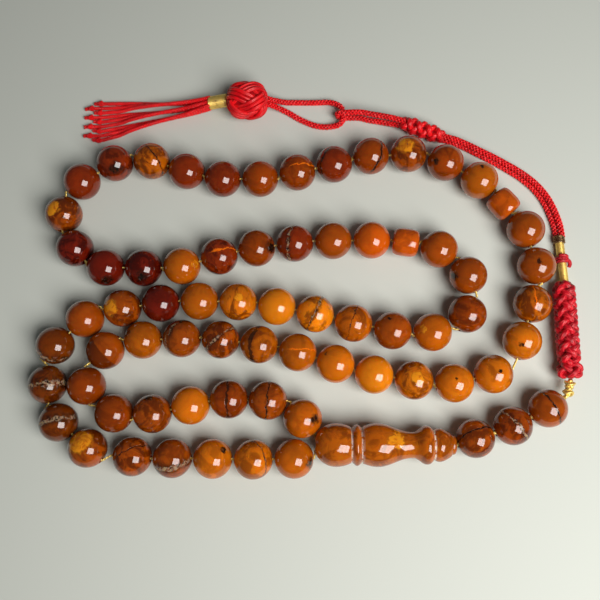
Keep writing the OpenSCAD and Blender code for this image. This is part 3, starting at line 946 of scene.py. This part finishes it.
@dataclass
class Beads:
    """All the round beads, each turned, bored and a little out of round in its own way.

    Args:
        material: the amber.
        radius: of a bead of the loop.
        half_length: from its middle to the small flat round its hole.
        hole: radius of the bore.
        lip: radius of the rounding at the bore's mouth.
        steps: faces round a bead.
    """

    material: Material
    radius: float = 4.6 * MM
    half_length: float = BEAD_HALF_LENGTH
    tail_radius: float = 4.5 * MM
    hole: float = 0.75 * MM
    lip: float = 0.22 * MM
    steps: int = 56

    def seats(self) -> list[BeadSeat]:
        """Finds every bead in the frame from its node's box and its body's joint."""
        found = []
        axes = {joint["child"]: Vector(joint["axis"]) for joint in frame["joints"]}
        for body, node in self._nodes():
            low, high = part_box(node)
            middle = (low + high) / 2
            axis = axes[body].normalized()
            if node.startswith("tail_bead"):
                number = FIRST_TAIL_NUMBER - 1 + int(node[-1])
                found.append(BeadSeat(number, node, body, middle, axis))
                continue
            numbers = [int(part) for part in node.split("_")[1:]]
            if len(numbers) == 1:
                found.append(BeadSeat(numbers[0], node, body, middle, axis))
                continue
            reach = max((vertex.co - middle).dot(axis) for vertex in frame["nodes"][node].data.vertices)
            apart = reach - self.half_length
            found.append(BeadSeat(numbers[0], node, body, middle - axis * apart, axis))
            found.append(BeadSeat(numbers[1], node, body, middle + axis * apart, axis))
        return found

    @staticmethod
    def _nodes() -> list[tuple[str, str]]:
        """Every body that is a bead or two, and its node."""
        bodies = frame["record"]["behaviour"]["bodies"]
        return [(body, nodes[0]) for body, nodes in bodies.items() if "bead" in body]

    def _outline(self, radius: float, half_length: float) -> list[tuple[float, float]]:
        """Half of a bead's section: the bore's wall, its rounded lips and the round outside."""
        flat = math.asin(min(half_length / radius, 1.0))
        edge = max(radius * math.cos(flat), self.hole + self.lip * 1.4)
        start = math.acos(edge / radius)
        arc = 26
        angles = [start - 2 * start * i / arc for i in range(arc + 1)]
        outside = [(radius * math.cos(angle), radius * math.sin(angle)) for angle in angles]
        top = outside[0][1]
        lip = [(self.hole + self.lip * (1 - math.cos(math.radians(a))),
                top - self.lip * (1 - math.sin(math.radians(a)))) for a in (0, 30, 60, 90)]
        bottom = [(r, -z) for r, z in reversed(lip)]
        return lip + outside + bottom

    def build(self) -> None:
        """Makes every bead, stores its look and rides it on its body."""
        for seat in self.seats():
            chance = random.Random(seat.number)
            on_tail = seat.number >= FIRST_TAIL_NUMBER
            radius = self.tail_radius if on_tail else self.radius
            half = radius * 0.985 if on_tail else self.half_length
            work = spun(self._outline(radius, half), self.steps, closed=True)
            lumps = [(Vector((chance.uniform(-1, 1), chance.uniform(-1, 1),
                              chance.uniform(-1, 1))).normalized(),
                      chance.uniform(0.004, 0.014)) for _ in range(3)]
            for vertex in work.verts:
                out = vertex.co.normalized()
                share = sum(depth * smoothstep(0.2, 1.0, out.dot(way)) for way, depth in lumps)
                reach = math.hypot(vertex.co.x, vertex.co.y)
                if reach > self.hole * 1.3:
                    vertex.co -= out * share * radius
            turn = Matrix.Rotation(chance.uniform(0, math.tau), 4, "Z")
            bmesh.ops.transform(work, matrix=standing(seat.centre, seat.axis) @ turn, verts=work.verts)
            mesh = cast(work, f"amber_bead_{seat.number:02d}")
            piece = show(mesh, mesh.name, self.material)
            mesh.set_sharp_from_angle(angle=math.radians(50))
            grain(piece, LOOKS[seat.number], seat.centre, radius)
            reddish = on_tail or STRING_ENDS[0] < seat.number <= STRING_ENDS[1]
            slot = "red_brown_amber" if reddish else "honey_amber"
            settle(piece, seat.body, slot, seat.node)
        LOG.info("beads: %d", len(LOOKS))


@dataclass
class Separators:
    """The two barrels between the three strings."""

    material: Material
    radius: float = 3.45 * MM
    half_length: float = 3.1 * MM
    end_radius: float = 2.3 * MM
    hole: float = 0.75 * MM
    lip: float = 0.15 * MM
    steps: int = 56

    def build(self) -> None:
        """Makes both barrels."""
        for joint in frame["joints"]:
            if not joint["child"].startswith("separator"):
                continue
            node = joint["child"]
            centre, axis = Vector(joint["pos_m"]), Vector(joint["axis"]).normalized()
            rows = 20
            outside = []
            for i in range(rows + 1):
                s = -1 + 2 * i / rows
                swell = math.sqrt(1 - abs(s) ** 3.4)
                outside.append((self.end_radius + (self.radius - self.end_radius) * swell,
                                -s * self.half_length))
            bore = [(self.hole, -self.half_length + self.lip), (self.hole, self.half_length - self.lip),
                    (self.hole + 0.12 * MM, self.half_length)]
            mouth = (self.hole + 0.12 * MM, -self.half_length)
            work = spun([*bore, *outside, mouth], self.steps, closed=True)
            bmesh.ops.transform(work, matrix=standing(centre, axis), verts=work.verts)
            mesh = cast(work, "amber_" + node)
            piece = show(mesh, mesh.name, self.material)
            mesh.set_sharp_from_angle(angle=math.radians(45))
            grain(piece, Look(Tone.ORANGE, cloud=0.35), centre, self.radius)
            settle(piece, node, "orange_amber", node)
        LOG.info("separators: 2")


@dataclass
class Leader:
    """The turned piece that gathers both ends of the loop: knob, disc, vase and finial."""

    material: Material
    knob_radius: float = 5.0
    disc_radius: float = 4.8
    vase_radius: float = 5.0
    waist_radius: float = 3.0
    rim_radius: float = 4.45
    finial_radius: float = 3.85
    length: float = 32.4
    steps: int = 88
    grooves: tuple[float, ...] = (8.42, 10.78, 27.3)

    def _outline(self) -> list[tuple[float, float]]:
        """The section in millimetres, from the knob's bore round the outside to the tip's."""

        def sweep(z0: float, z1: float, r0: float, r1: float, count: int) -> list[tuple[float, float]]:
            """A flowing curve between two radii."""
            return [(r0 + (r1 - r0) * (1 - math.cos(math.pi * i / count)) / 2, z0 + (z1 - z0) * i / count)
                    for i in range(count + 1)]

        def roll(z0: float, z1: float, edge: float, top: float, count: int) -> list[tuple[float, float]]:
            """A rounded swelling between two stations."""
            return [(edge + (top - edge) * math.sin(math.pi * i / count), z0 + (z1 - z0) * i / count)
                    for i in range(count + 1)]

        knob = []
        for i in range(2, 33):
            z = 8.2 * (1 - math.cos(math.pi * i / 32)) / 2
            reach = 6.3 if z > 4.7 else 5.22
            knob.append((self.knob_radius * math.sqrt(1 - ((z - 4.7) / reach) ** 2), z))
        shoulder = [(4.3 + (self.vase_radius - 4.3) * math.sin(math.pi / 2 * i / 8), 11.0 + 3.2 * i / 8)
                    for i in range(8)]
        finial = [(3.6, 27.62), (3.75, 27.9), (3.83, 28.3), (self.finial_radius, 28.7), (3.74, 29.2),
                  (3.5, 29.8), (3.2, 30.4), (2.9, 30.9), (2.62, 31.25), (2.3, 31.42), (2.22, 31.5),
                  (2.24, 31.7), (2.1, 32.1),
                  (1.8, 32.34), (1.5, self.length)]
        bore = [(1.05, self.length), (1.0, self.length - 0.3), (1.0, 1.2), (1.6, 0.35), (1.9, 0.08)]
        return [*knob, (3.9, self.grooves[0]), *roll(8.66, 10.5, 4.2, self.disc_radius, 12),
                (4.0, self.grooves[1]),
                *shoulder, *sweep(14.4, 22.3, self.vase_radius, self.waist_radius, 26),
                *sweep(22.5, 25.6, self.waist_radius, self.rim_radius, 16),
                (self.rim_radius, 25.95), (4.3, 26.4), (3.95, 26.8), (3.72, 27.05), (3.4, self.grooves[2]),
                *finial, *bore]

    def build(self) -> None:
        """Makes the leader along +X where its node lies."""
        low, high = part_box("leader")
        start = Vector((low.x, (low.y + high.y) / 2, (low.z + high.z) / 2))
        work = spun([(r * MM, z * MM) for r, z in self._outline()], self.steps, closed=True)
        bmesh.ops.transform(work, matrix=standing(start, Vector((1, 0, 0))), verts=work.verts)
        mesh = cast(work, "amber_leader")
        piece = show(mesh, mesh.name, self.material)
        mesh.set_sharp_from_angle(angle=math.radians(38))

        def residue(point: Vector) -> float:
            """Chalky polish packed in the grooves, thickest in the last."""
            station = (point.x - start.x) / MM
            radius = math.hypot(point.y - start.y, point.z - start.z) / MM
            amounts = (0.75, 0.75, 1.0)
            near = max(amount * smoothstep(0.33, 0.05, abs(station - groove))
                       for groove, amount in zip(self.grooves, amounts))
            return near if radius > 2.5 else 0.0

        look = Look(Tone.TAWNY, Mark.CHIP, 0.0, 0.0, size=0.42, cloud=0.55, specks=0.1)
        grain(piece, look, start + Vector((18.5, 1.0, 0.0)) * MM, self.vase_radius * MM, residue)
        settle(piece, "leader", "honey_amber", "leader")
        LOG.info("leader: 1")


# ---------------------------------------------------------------------------------------------
# Threads, cords and knots
# ---------------------------------------------------------------------------------------------


@dataclass
class Threads:
    """The gold thread of the loop and the doubled thread of the tail."""

    gold: Material
    thread: float = 0.6 * MM
    tail_thread: float = 1.1 * MM
    ply_turn: float = 1.6 * MM

    def _twisted(self, name: str, route: Route, thickness: float, plies: int) -> Piece:
        """Plies twisted together along a route."""
        ply = thickness * (0.56 if plies == 2 else 0.5)
        lines = []
        for index in range(plies):
            count = int(route.length / (self.ply_turn / 6))
            line = []
            for i in range(count + 1):
                distance = route.length * i / count
                angle = math.tau * (distance / self.ply_turn + index / plies)
                line.append(route.around(distance, angle, (thickness - ply) / 2))
            lines.append(line)
        return strands(name, lines, ply, self.gold, 6)

    def build(self, seats: Sequence[BeadSeat]) -> None:
        """Runs the thread through every bore, in the order the beads are strung."""
        stations = sorted((seat for seat in seats if seat.number < FIRST_TAIL_NUMBER),
                          key=lambda seat: seat.number)
        joints = {joint["child"]: joint for joint in frame["joints"]}
        low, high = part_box("leader")
        mouth = Vector((low.x, (low.y + high.y) / 2, (low.z + high.z) / 2))
        points = [mouth + Vector((2.4, 0.35, 0.0)) * MM, mouth + Vector((0.3, 0.45, 0.0)) * MM]
        for seat in stations:
            axis = seat.axis if seat.number != SLIDING_BEAD else -seat.axis
            reach = BEAD_HALF_LENGTH + 0.1 * MM
            points += [seat.centre - axis * reach, seat.centre + axis * reach]
            if seat.number in STRING_ENDS:
                joint = joints[f"separator_{seat.number // BEADS_PER_STRING}"]
                centre, along = Vector(joint["pos_m"]), Vector(joint["axis"])
                points += [centre - along * 3.2 * MM, centre + along * 3.2 * MM]
        points += [mouth + Vector((0.2, -0.5, 0.0)) * MM, mouth + Vector((2.4, -0.35, 0.0)) * MM]
        loop = self._twisted("gold_loop_thread", self._polyline(points), self.thread, 2)
        settle(loop, "thread", "gold_thread", "loop_thread")
        tail_seats = sorted((seat for seat in seats if seat.number >= FIRST_TAIL_NUMBER),
                            key=lambda seat: seat.number)
        points = [mouth + Vector((2.5, 0.0, 0.0)) * MM, Vector((high.x, mouth.y, mouth.z))]
        for seat in tail_seats:
            reach = 4.6 * MM
            points += [seat.centre - seat.axis * reach, seat.centre + seat.axis * reach]
        points += on_table([(62.0, -24.5, 4.0), (63.0, -23.8, 3.7)])
        tail = self._twisted("gold_tail_thread", self._polyline(points), self.tail_thread, 2)
        settle(tail, "thread", "gold_thread", "tail_thread")
        LOG.info("threads: 2")

    @staticmethod
    def _polyline(points: Sequence[Vector]) -> Route:
        """A route that keeps its long stretches straight."""
        line = [points[0]]
        for a, b in zip(points, points[1:]):
            if (b - a).length > 2 * MM:
                line += [a.lerp(b, 0.15), a.lerp(b, 0.5), a.lerp(b, 0.85)]
            line.append(b)
        return Route(line, 6)


CORD_ROUTE = [
    (64.1, 15.1), (63.9, 17.8), (63.4, 20), (62.6, 22.5), (61.5, 25), (59.7, 27.7), (57.5, 30),
    (55, 32), (52, 34), (49, 35.9), (46, 37.6), (43, 39.3), (40, 40.8), (38, 41.5), (35.9, 42.2),
]
EYE_UPPER = [(27.2, 46.0, 3.2), (24, 46.9, 3.4), (21, 47.5, 3.5), (18, 48, 3.7), (15.5, 48.4, 3.85)]
EYE_LOWER = [(15.5, 48.3, 0.75), (18, 47.6, 0.8), (21, 47, 0.9), (24, 46.3, 1.1), (27.2, 45.5, 1.5)]
EYE_CENTRE = (11.35, 48.35, 2.3)
TASSEL_ROUTE = [
    (-8.2, 52.5, 3.9), (-6, 52.8, 2.1), (-3.5, 52.9, 0.9), (-1, 52.9, 0.75), (2.5, 52.8, 0.75),
    (5, 52.8, 0.75), (7.5, 52.7, 1), (9.5, 51.9, 1.6), (10.9, 50.5, 2.1), (11.45, 48.35, 2.3),
    (11.1, 46.9, 2.1), (10, 46, 1.6), (8.2, 45.8, 1.1), (6.2, 45.9, 0.8), (4, 46.3, 0.75),
    (1.8, 47.2, 0.75), (-0.5, 48.4, 0.75), (-2.8, 49.9, 0.75), (-4.8, 50.8, 1.2), (-6, 51.05, 2),
    (-8.2, 51.1, 3.8),
]


@dataclass
class RedCords:
    """The braided cord from the sleeve to the tassel: two lengths, the eye and the tassel's loop."""

    red: Material
    core: Material
    diameter: float = FREE_CORD
    lean_start: float = 1.1
    lean_end: float = 0.3
    stack: float = 1.55
    braid: Braid = Braid(3, 2.7 * MM, 0.47 * MM, 0.10 * MM, 0.40 * MM, 6, 4, 0.0, 0.3)

    def _declare(self, route: Route) -> None:
        """Works out points along the route, and keeps none of them."""
        tuple(route.points[0])
        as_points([tuple(p) for p in route.points[::3]] + [tuple(route.points[-1])])

    def build(self) -> None:
        """Makes the four lengths of free cord."""
        flat = [Vector(point) for point in CORD_ROUTE]
        lower_points, upper_points = [], []
        last = len(flat) - 1
        for index, place in enumerate(flat):
            forward = (flat[min(index + 1, last)] - flat[max(index - 1, 0)]).normalized()
            lean = self.lean_start + (self.lean_end - self.lean_start) * index / last
            side = Vector((forward.y, -forward.x)) * lean
            lower_points.append((place.x, place.y, 0.75))
            height = 0.75 + math.sqrt(self.stack ** 2 - lean ** 2)
            upper_points.append((place.x + side.x, place.y + side.y, height))
        start, end = on_table([(64.5, 15.3, 1.0), (63.6, 19.5, 1.0)])
        for name, node, points in (("red_lower_cord", "lower_cord", lower_points),
                                   ("red_upper_cord", "upper_cord", upper_points)):
            route = Route(on_table(points))
            piece = self.braid.dress(name, route, self.red, self.core)
            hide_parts(node)
            tuple(start)
            tuple(end)
            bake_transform(piece)
            self._declare(route)
        centre = Vector(EYE_CENTRE)
        back = (Vector((26.7, 45.9, 0.0)) - Vector((centre.x, centre.y, 0.0))).normalized()
        bend_radius = self.diameter / MM / 2 + 0.8
        bend = []
        for i in range(9):
            angle = math.radians(90 + 180 * i / 8)
            bend.append(centre + (back * math.cos(angle) + UP * math.sin(angle)) * bend_radius)
        eye = Route(on_table([Vector(p) for p in EYE_UPPER] + bend + [Vector(p) for p in EYE_LOWER]))
        piece = self.braid.dress("red_cord_eye", eye, self.red, self.core)
        settle(piece, "tail_cord", "red_cord", "cord_eye")
        self._declare(eye)
        loop = Route(on_table(TASSEL_ROUTE))
        piece = self.braid.dress("red_tassel_loop", loop, self.red, self.core)
        settle(piece, "tassel", "red_cord", "tassel_loop")
        self._declare(loop)
        LOG.info("free cords: 4")


@dataclass
class Knots:
    """The knotted sleeve, its end knots, the whippings, the snake knot and the ball knot."""

    crimson: Material
    red: Material
    core: Material
    gold: Material
    copper: Material

    def _wound(self, name: str, route: Route, radius: float, thread: float,
               material: Material) -> Piece:
        """Fine thread wound in close turns over a filled core."""
        turns = int(route.length / (thread * 0.94))
        count = turns * 18
        line = [route.around(route.length * i / count, math.tau * turns * i / count, radius - thread / 2)
                for i in range(count + 1)]
        cover = strands(name + "_cover", [line], thread, material, 6)
        inner = [route.at(route.length * i / 6)[0] for i in range(7)]
        filling = strands(name + "_core", [inner], 2 * (radius - thread * 0.55), material, 8)
        return joined(name, [cover, filling])

    def end_knot(self) -> None:
        """The tail's thread, tied off in two small overhand turns."""
        start, end = on_table([(63.0, -23.9, 3.6), (64.05, -20.3, 3.35)])
        route = straight(start, end)
        braid = Braid(2, 2.0 * MM, 0.55 * MM, 0.2 * MM, 0.62 * MM, 8, 5, 0.8 * MM)
        knot = braid.dress("gold_knot_turns", route, self.gold, self.gold)
        loops = []
        for index, (share, lift) in enumerate(((0.15, 0.5), (0.75, 0.35))):
            place, forward, side, up = route.at(route.length * share)
            ring = []
            for i in range(24):
                angle = math.tau * i / 24
                ring.append(place + (side * math.cos(angle) * 1.05 + up * math.sin(angle) * 1.0) * MM
                            + forward * (math.sin(2 * angle + index) * 0.35 * MM))
            loops.append(ring)
        rings = strands("gold_knot_rings", loops, 0.6 * MM, self.gold, 8, closed=True)
        settle(joined("gold_end_knot", [knot, rings]), "tail", "gold_thread", "end_knot")

    def sleeve(self) -> None:
        """A round braid of red cord, drawn up over the hidden thread, with a fat knot below."""
        start, end = on_table([(64.1, -20.5, 3.3), (64.1, 3.0, 3.2)])
        upper = Route([start.lerp(end, share) for share in (0.16, 0.4, 0.7, 1.0)])
        braid = Braid(4, 11.2 * MM, 1.72 * MM, 0.38 * MM, 1.6 * MM, 8, 7, 1.2 * MM)
        cover = braid.dress("sleeve_braid", upper, self.crimson, self.core)
        knot = TurkHead(3, 4, 4.9 * MM, 6.7 * MM, 1.35 * MM, 1, 0.4 * MM, 58.0, 20)
        middle = start.lerp(end, 0.105)
        head = knot.dress("sleeve_knot", middle, Vector((0, 1, 0)), self.crimson, self.core)
        settle(joined("crimson_sleeve", [cover, head]), "tail", "red_cord", "knotted_sleeve")

    def whippings(self) -> None:
        """The gold whippings, the copper collar and the red ring between them."""
        low, mid, top, gap, end = on_table([(64.9, 2.3, 2.1), (64.8, 8.5, 1.55), (64.7, 10.6, 1.5),
                                            (64.58, 13.7, 1.45), (64.5, 15.5, 1.4)])
        lower = self._wound("gold_lower_whipping", straight(low, mid), 1.05 * MM, 0.26 * MM, self.gold)
        settle(lower, "tail", "gold_thread", "lower_whipping")
        upper = self._wound("upper_gold_turns", straight(top, gap), 1.08 * MM, 0.26 * MM, self.gold)
        collar = self._wound("upper_copper_turns", straight(gap, end), 1.45 * MM, 0.4 * MM,
                             self.copper)
        settle(joined("gold_upper_whipping", [upper, collar]), "tail", "gold_thread", "upper_whipping")
        rings = []
        route = straight(mid, top)
        turns, count = 2.2, 60
        line = [route.around(route.length * (0.16 + 0.68 * i / count),
                             math.tau * turns * i / count + 1.0, 1.3 * MM) for i in range(count + 1)]
        tail = route.at(route.length * 0.4)[0]
        rings.append([line[0] + (tail - line[0]) * 0.2, *line])
        free = on_table([(65.6, 9.3, 2.6), (66.3, 8.9, 2.2), (66.7, 8.3, 1.6), (66.6, 7.7, 1.1)])
        rings.append(Route(free, 8).points)
        ring = strands("crimson_ring", rings, 0.95 * MM, self.crimson, 8)
        settle(ring, "tail", "red_cord", "red_ring")

    def snake_knot(self) -> None:
        """Four crossings of the doubled cord."""
        start, end = on_table([(36.6, 41.9, 2.4), (26.6, 46.0, 2.4)])
        route = straight(start, end)
        braid = Braid(2, 5.2 * MM, 1.2 * MM, 0.45 * MM, 1.5 * MM, 8, 8, 1.6 * MM)
        settle(braid.dress("red_snake_knot", route, self.red, self.core), "tail_cord", "red_cord",
               "snake_knot")

    def ball_knot(self) -> None:
        """The woven ball above the tassel, three cords to a band."""
        low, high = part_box("ball_knot")
        knot = TurkHead(3, 5, high.x - low.x, high.z - low.z, 1.02 * MM, 3, 0.5 * MM, 62.0, 26)
        ball = knot.dress("red_ball_knot", (low + high) / 2, Vector((1, 0, 0)), self.red, self.core)
        settle(ball, "tassel", "red_cord", "ball_knot")

    def ferrule(self) -> None:
        """Gold thread wound where the tassel's strands are gathered."""
        start, end = on_table([(-18.8, 52.2, 4.1), (-23.5, 52.1, 2.88)])
        wound = self._wound("gold_ferrule", straight(start, end), 1.72 * MM, 0.3 * MM, self.gold)
        settle(wound, "tassel", "gold_thread", "tassel_ferrule")

    def build(self) -> None:
        """Makes every knot and whipping."""
        self.end_knot()
        self.sleeve()
        self.whippings()
        self.snake_knot()
        self.ball_knot()
        self.ferrule()
        LOG.info("knots and whippings: 8")


@dataclass
class Tassel:
    """Nine braided strands, fanned out on the table, each with a knot at its tip."""

    red: Material
    core: Material
    start: tuple[float, float, float] = (-23.4, 52.1, 2.9)
    end: tuple[float, float, float] = (-52.5, 48.4, 0.5)
    pitch: float = 1.04
    end_pitch: float = 1.3
    diameter: float = 1.0
    braid: Braid = Braid(3, 2.1 * MM, 0.31 * MM, 0.06 * MM, 0.31 * MM, 4, 3, 0.0, 0.3)

    def _point(self, number: int, share: float) -> Vector:
        """A point of one strand, in the layout's millimetres."""
        column, row = divmod(number, 3)
        spread = self.end_pitch * share
        stack = math.sqrt(max(0.0, self.pitch ** 2 - spread ** 2))
        drop = max(0.0, 1 - share / 0.35) ** 2
        low = self.diameter / 2 + (self.start[2] - self.pitch - self.diameter / 2) * drop
        middle = Vector(self.start).lerp(Vector(self.end), share)
        sideways = (1 - column) * (self.pitch * (1 - share) + 3 * spread) + (1 - row) * spread
        return Vector((middle.x, middle.y + sideways, low + row * stack))

    def build(self) -> None:
        """Makes the strands and their end knots as one piece."""
        pieces = []
        steps = 12
        for number in range(9):
            chance = random.Random(100 + number)
            wave = chance.uniform(-1, 1)
            points = []
            for i in range(steps + 1):
                share = i / steps
                sway = 0.16 * wave * math.sin(math.pi * share) * math.sin(5 * share + number)
                points.append(self._point(number, share) + Vector((0, sway, 0)))
            longer = 2.4 * (number % 2)
            tip = Vector((points[-1].x - longer, points[-1].y, 0.5))
            if longer:
                points.append(tip.copy())
            points += [tip + Vector(step) for step in (
                (-0.5, 0, 0.2), (-1.2, 0, 0.2), (-2.4, chance.uniform(-0.3, 0.3), 0))]
            route = Route(on_table(points), 10)
            pieces.append(self.braid.dress(f"strand_{number}", route, self.red, self.core))
            knot_at = on_table([tip + Vector((-0.7, 0, 0.28))])[0]
            ring = []
            for i in range(28):
                angle = math.tau * i / 28
                turn = Vector((0.42 * math.sin(2 * angle), 0.5 * math.cos(angle), 0.42 * math.sin(angle)))
                ring.append(knot_at + turn * MM)
            knot = strands(f"strand_knot_{number}", [ring], 0.62 * MM, self.red, 6, closed=True)
            pieces.append(knot)
        skirt = joined("red_tassel_strands", pieces)
        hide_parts("tassel_strands")
        start, end = on_table([(-23.4, 52.1, 2.9), (-28.0, 52.0, 2.0)])
        tuple(start)
        tuple(end)
        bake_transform(skirt)
        LOG.info("tassel strands: 9")


# ---------------------------------------------------------------------------------------------
# Studio
# ---------------------------------------------------------------------------------------------


@dataclass
class Studio:
    """The camera, the lights and the table."""

    camera_place: tuple[float, float, float] = (0.00455, -0.03825, 0.1641)
    tilt: float = 10.865
    lean: float = 1.99
    lens: float = 40.1
    window_way: tuple[float, float, float] = (0.46, -0.42, 0.78)
    window_far: float = 0.33
    window_size: float = 0.21
    window_power: float = 1.42
    window_turn: float = 28.0

    def camera(self) -> None:
        """Sets the camera above the table, tipped a little."""
        data = bpy.data.cameras.new("overhead_camera")
        data.lens = self.lens
        data.sensor_width = 36.0
        data.clip_start, data.clip_end = 0.01, 20.0
        camera = bpy.data.objects.new("overhead_camera", data)
        camera.location = self.camera_place
        camera.rotation_euler = (math.radians(self.tilt), math.radians(self.lean), 0.0)
        bpy.context.scene.collection.objects.link(camera)
        bpy.context.scene.camera = camera

    def _panel(self, name: str, way: Sequence[float], far: float, size: float, power: float,
               tint: Colour, turn: float = 0.0) -> None:
        """Hangs a square soft light that faces the middle of the table."""
        data = bpy.data.lights.new(name, "AREA")
        data.shape = "SQUARE"
        data.size = size
        data.energy = power
        data.color = tint
        light = bpy.data.objects.new(name, data)
        direction = Vector(way).normalized()
        light.location = direction * far
        facing = direction.to_track_quat("Z", "Y").to_matrix().to_4x4()
        light.rotation_euler = (facing @ Matrix.Rotation(math.radians(turn), 4, "Z")).to_euler()
        bpy.context.scene.collection.objects.link(light)

    def lights(self) -> None:
        """One window-like panel and a pale room."""
        self._panel("window", self.window_way, self.window_far, self.window_size, self.window_power,
                    (1.0, 0.965, 0.93), self.window_turn)
        world = bpy.data.worlds.new("pale_room")
        world.use_nodes = True
        background = world.node_tree.nodes["Background"]
        background.inputs["Color"].default_value = (0.82, 0.86, 0.84, 1.0)
        background.inputs["Strength"].default_value = 0.075
        bpy.context.scene.world = world
        bpy.context.scene.view_settings.view_transform = "Standard"

    def table(self) -> None:
        """Lays the plain pale table."""
        work = bmesh.new()
        bmesh.ops.create_grid(work, x_segments=1, y_segments=1, size=1.5)
        mesh = cast(work, "plain_table")
        show(mesh, "plain_table", Ground().material())


def clear_startup() -> None:
    """Takes away the cube, light and camera that a new Blender scene starts with."""
    for name in ("Cube", "Light", "Camera"):
        if name in bpy.data.objects:
            bpy.data.objects.remove(bpy.data.objects[name])


def main() -> None:
    """Builds the whole string of beads."""
    logging.basicConfig(level=logging.INFO, format="%(name)s: %(message)s")
    clear_startup()
    studio = Studio()
    studio.camera()
    # Each cord: its dye, a painted highlight for the crests, and a darker tone used both for wear and for painted
    # shade in the creases.
    red = Cord("red_cord_plies", (0.96, 0.004, 0.009), (1.0, 0.035, 0.040), (0.66, 0.003, 0.007)).material()
    # The core that fills each braid and ball knot is dyed far darker than the plies: painted shade where it shows
    # between them.
    core = Cord("red_cord_core", (0.42, 0.003, 0.007), (0.55, 0.01, 0.02), (0.22, 0.002, 0.005)).material()
    crimson = Cord("crimson_cord", (0.66, 0.005, 0.018), (0.95, 0.060, 0.075),
                   (0.33, 0.003, 0.010), 26.0, 4.0).material()
    braided = Cord("red_braided_cord", (0.94, 0.004, 0.010), (1.0, 0.050, 0.050),
                   (0.56, 0.003, 0.008), 34.0, 4.0).material()
    RedCords(red, core).build()
    amber = Amber().material()
    gold = Gilt("gold_thread").material()
    copper = Gilt("copper_thread", (0.42, 0.20, 0.07), (0.12, 0.05, 0.02), 0.42, 0.4).material()
    beads = Beads(amber)
    seats = beads.seats()
    beads.build()
    Separators(amber).build()
    Leader(amber).build()
    Threads(gold).build(seats)
    Knots(crimson, braided, core, gold, copper).build()
    Tassel(red, core).build()
    studio.lights()
    studio.table()


if __name__ == "__main__":
    main()
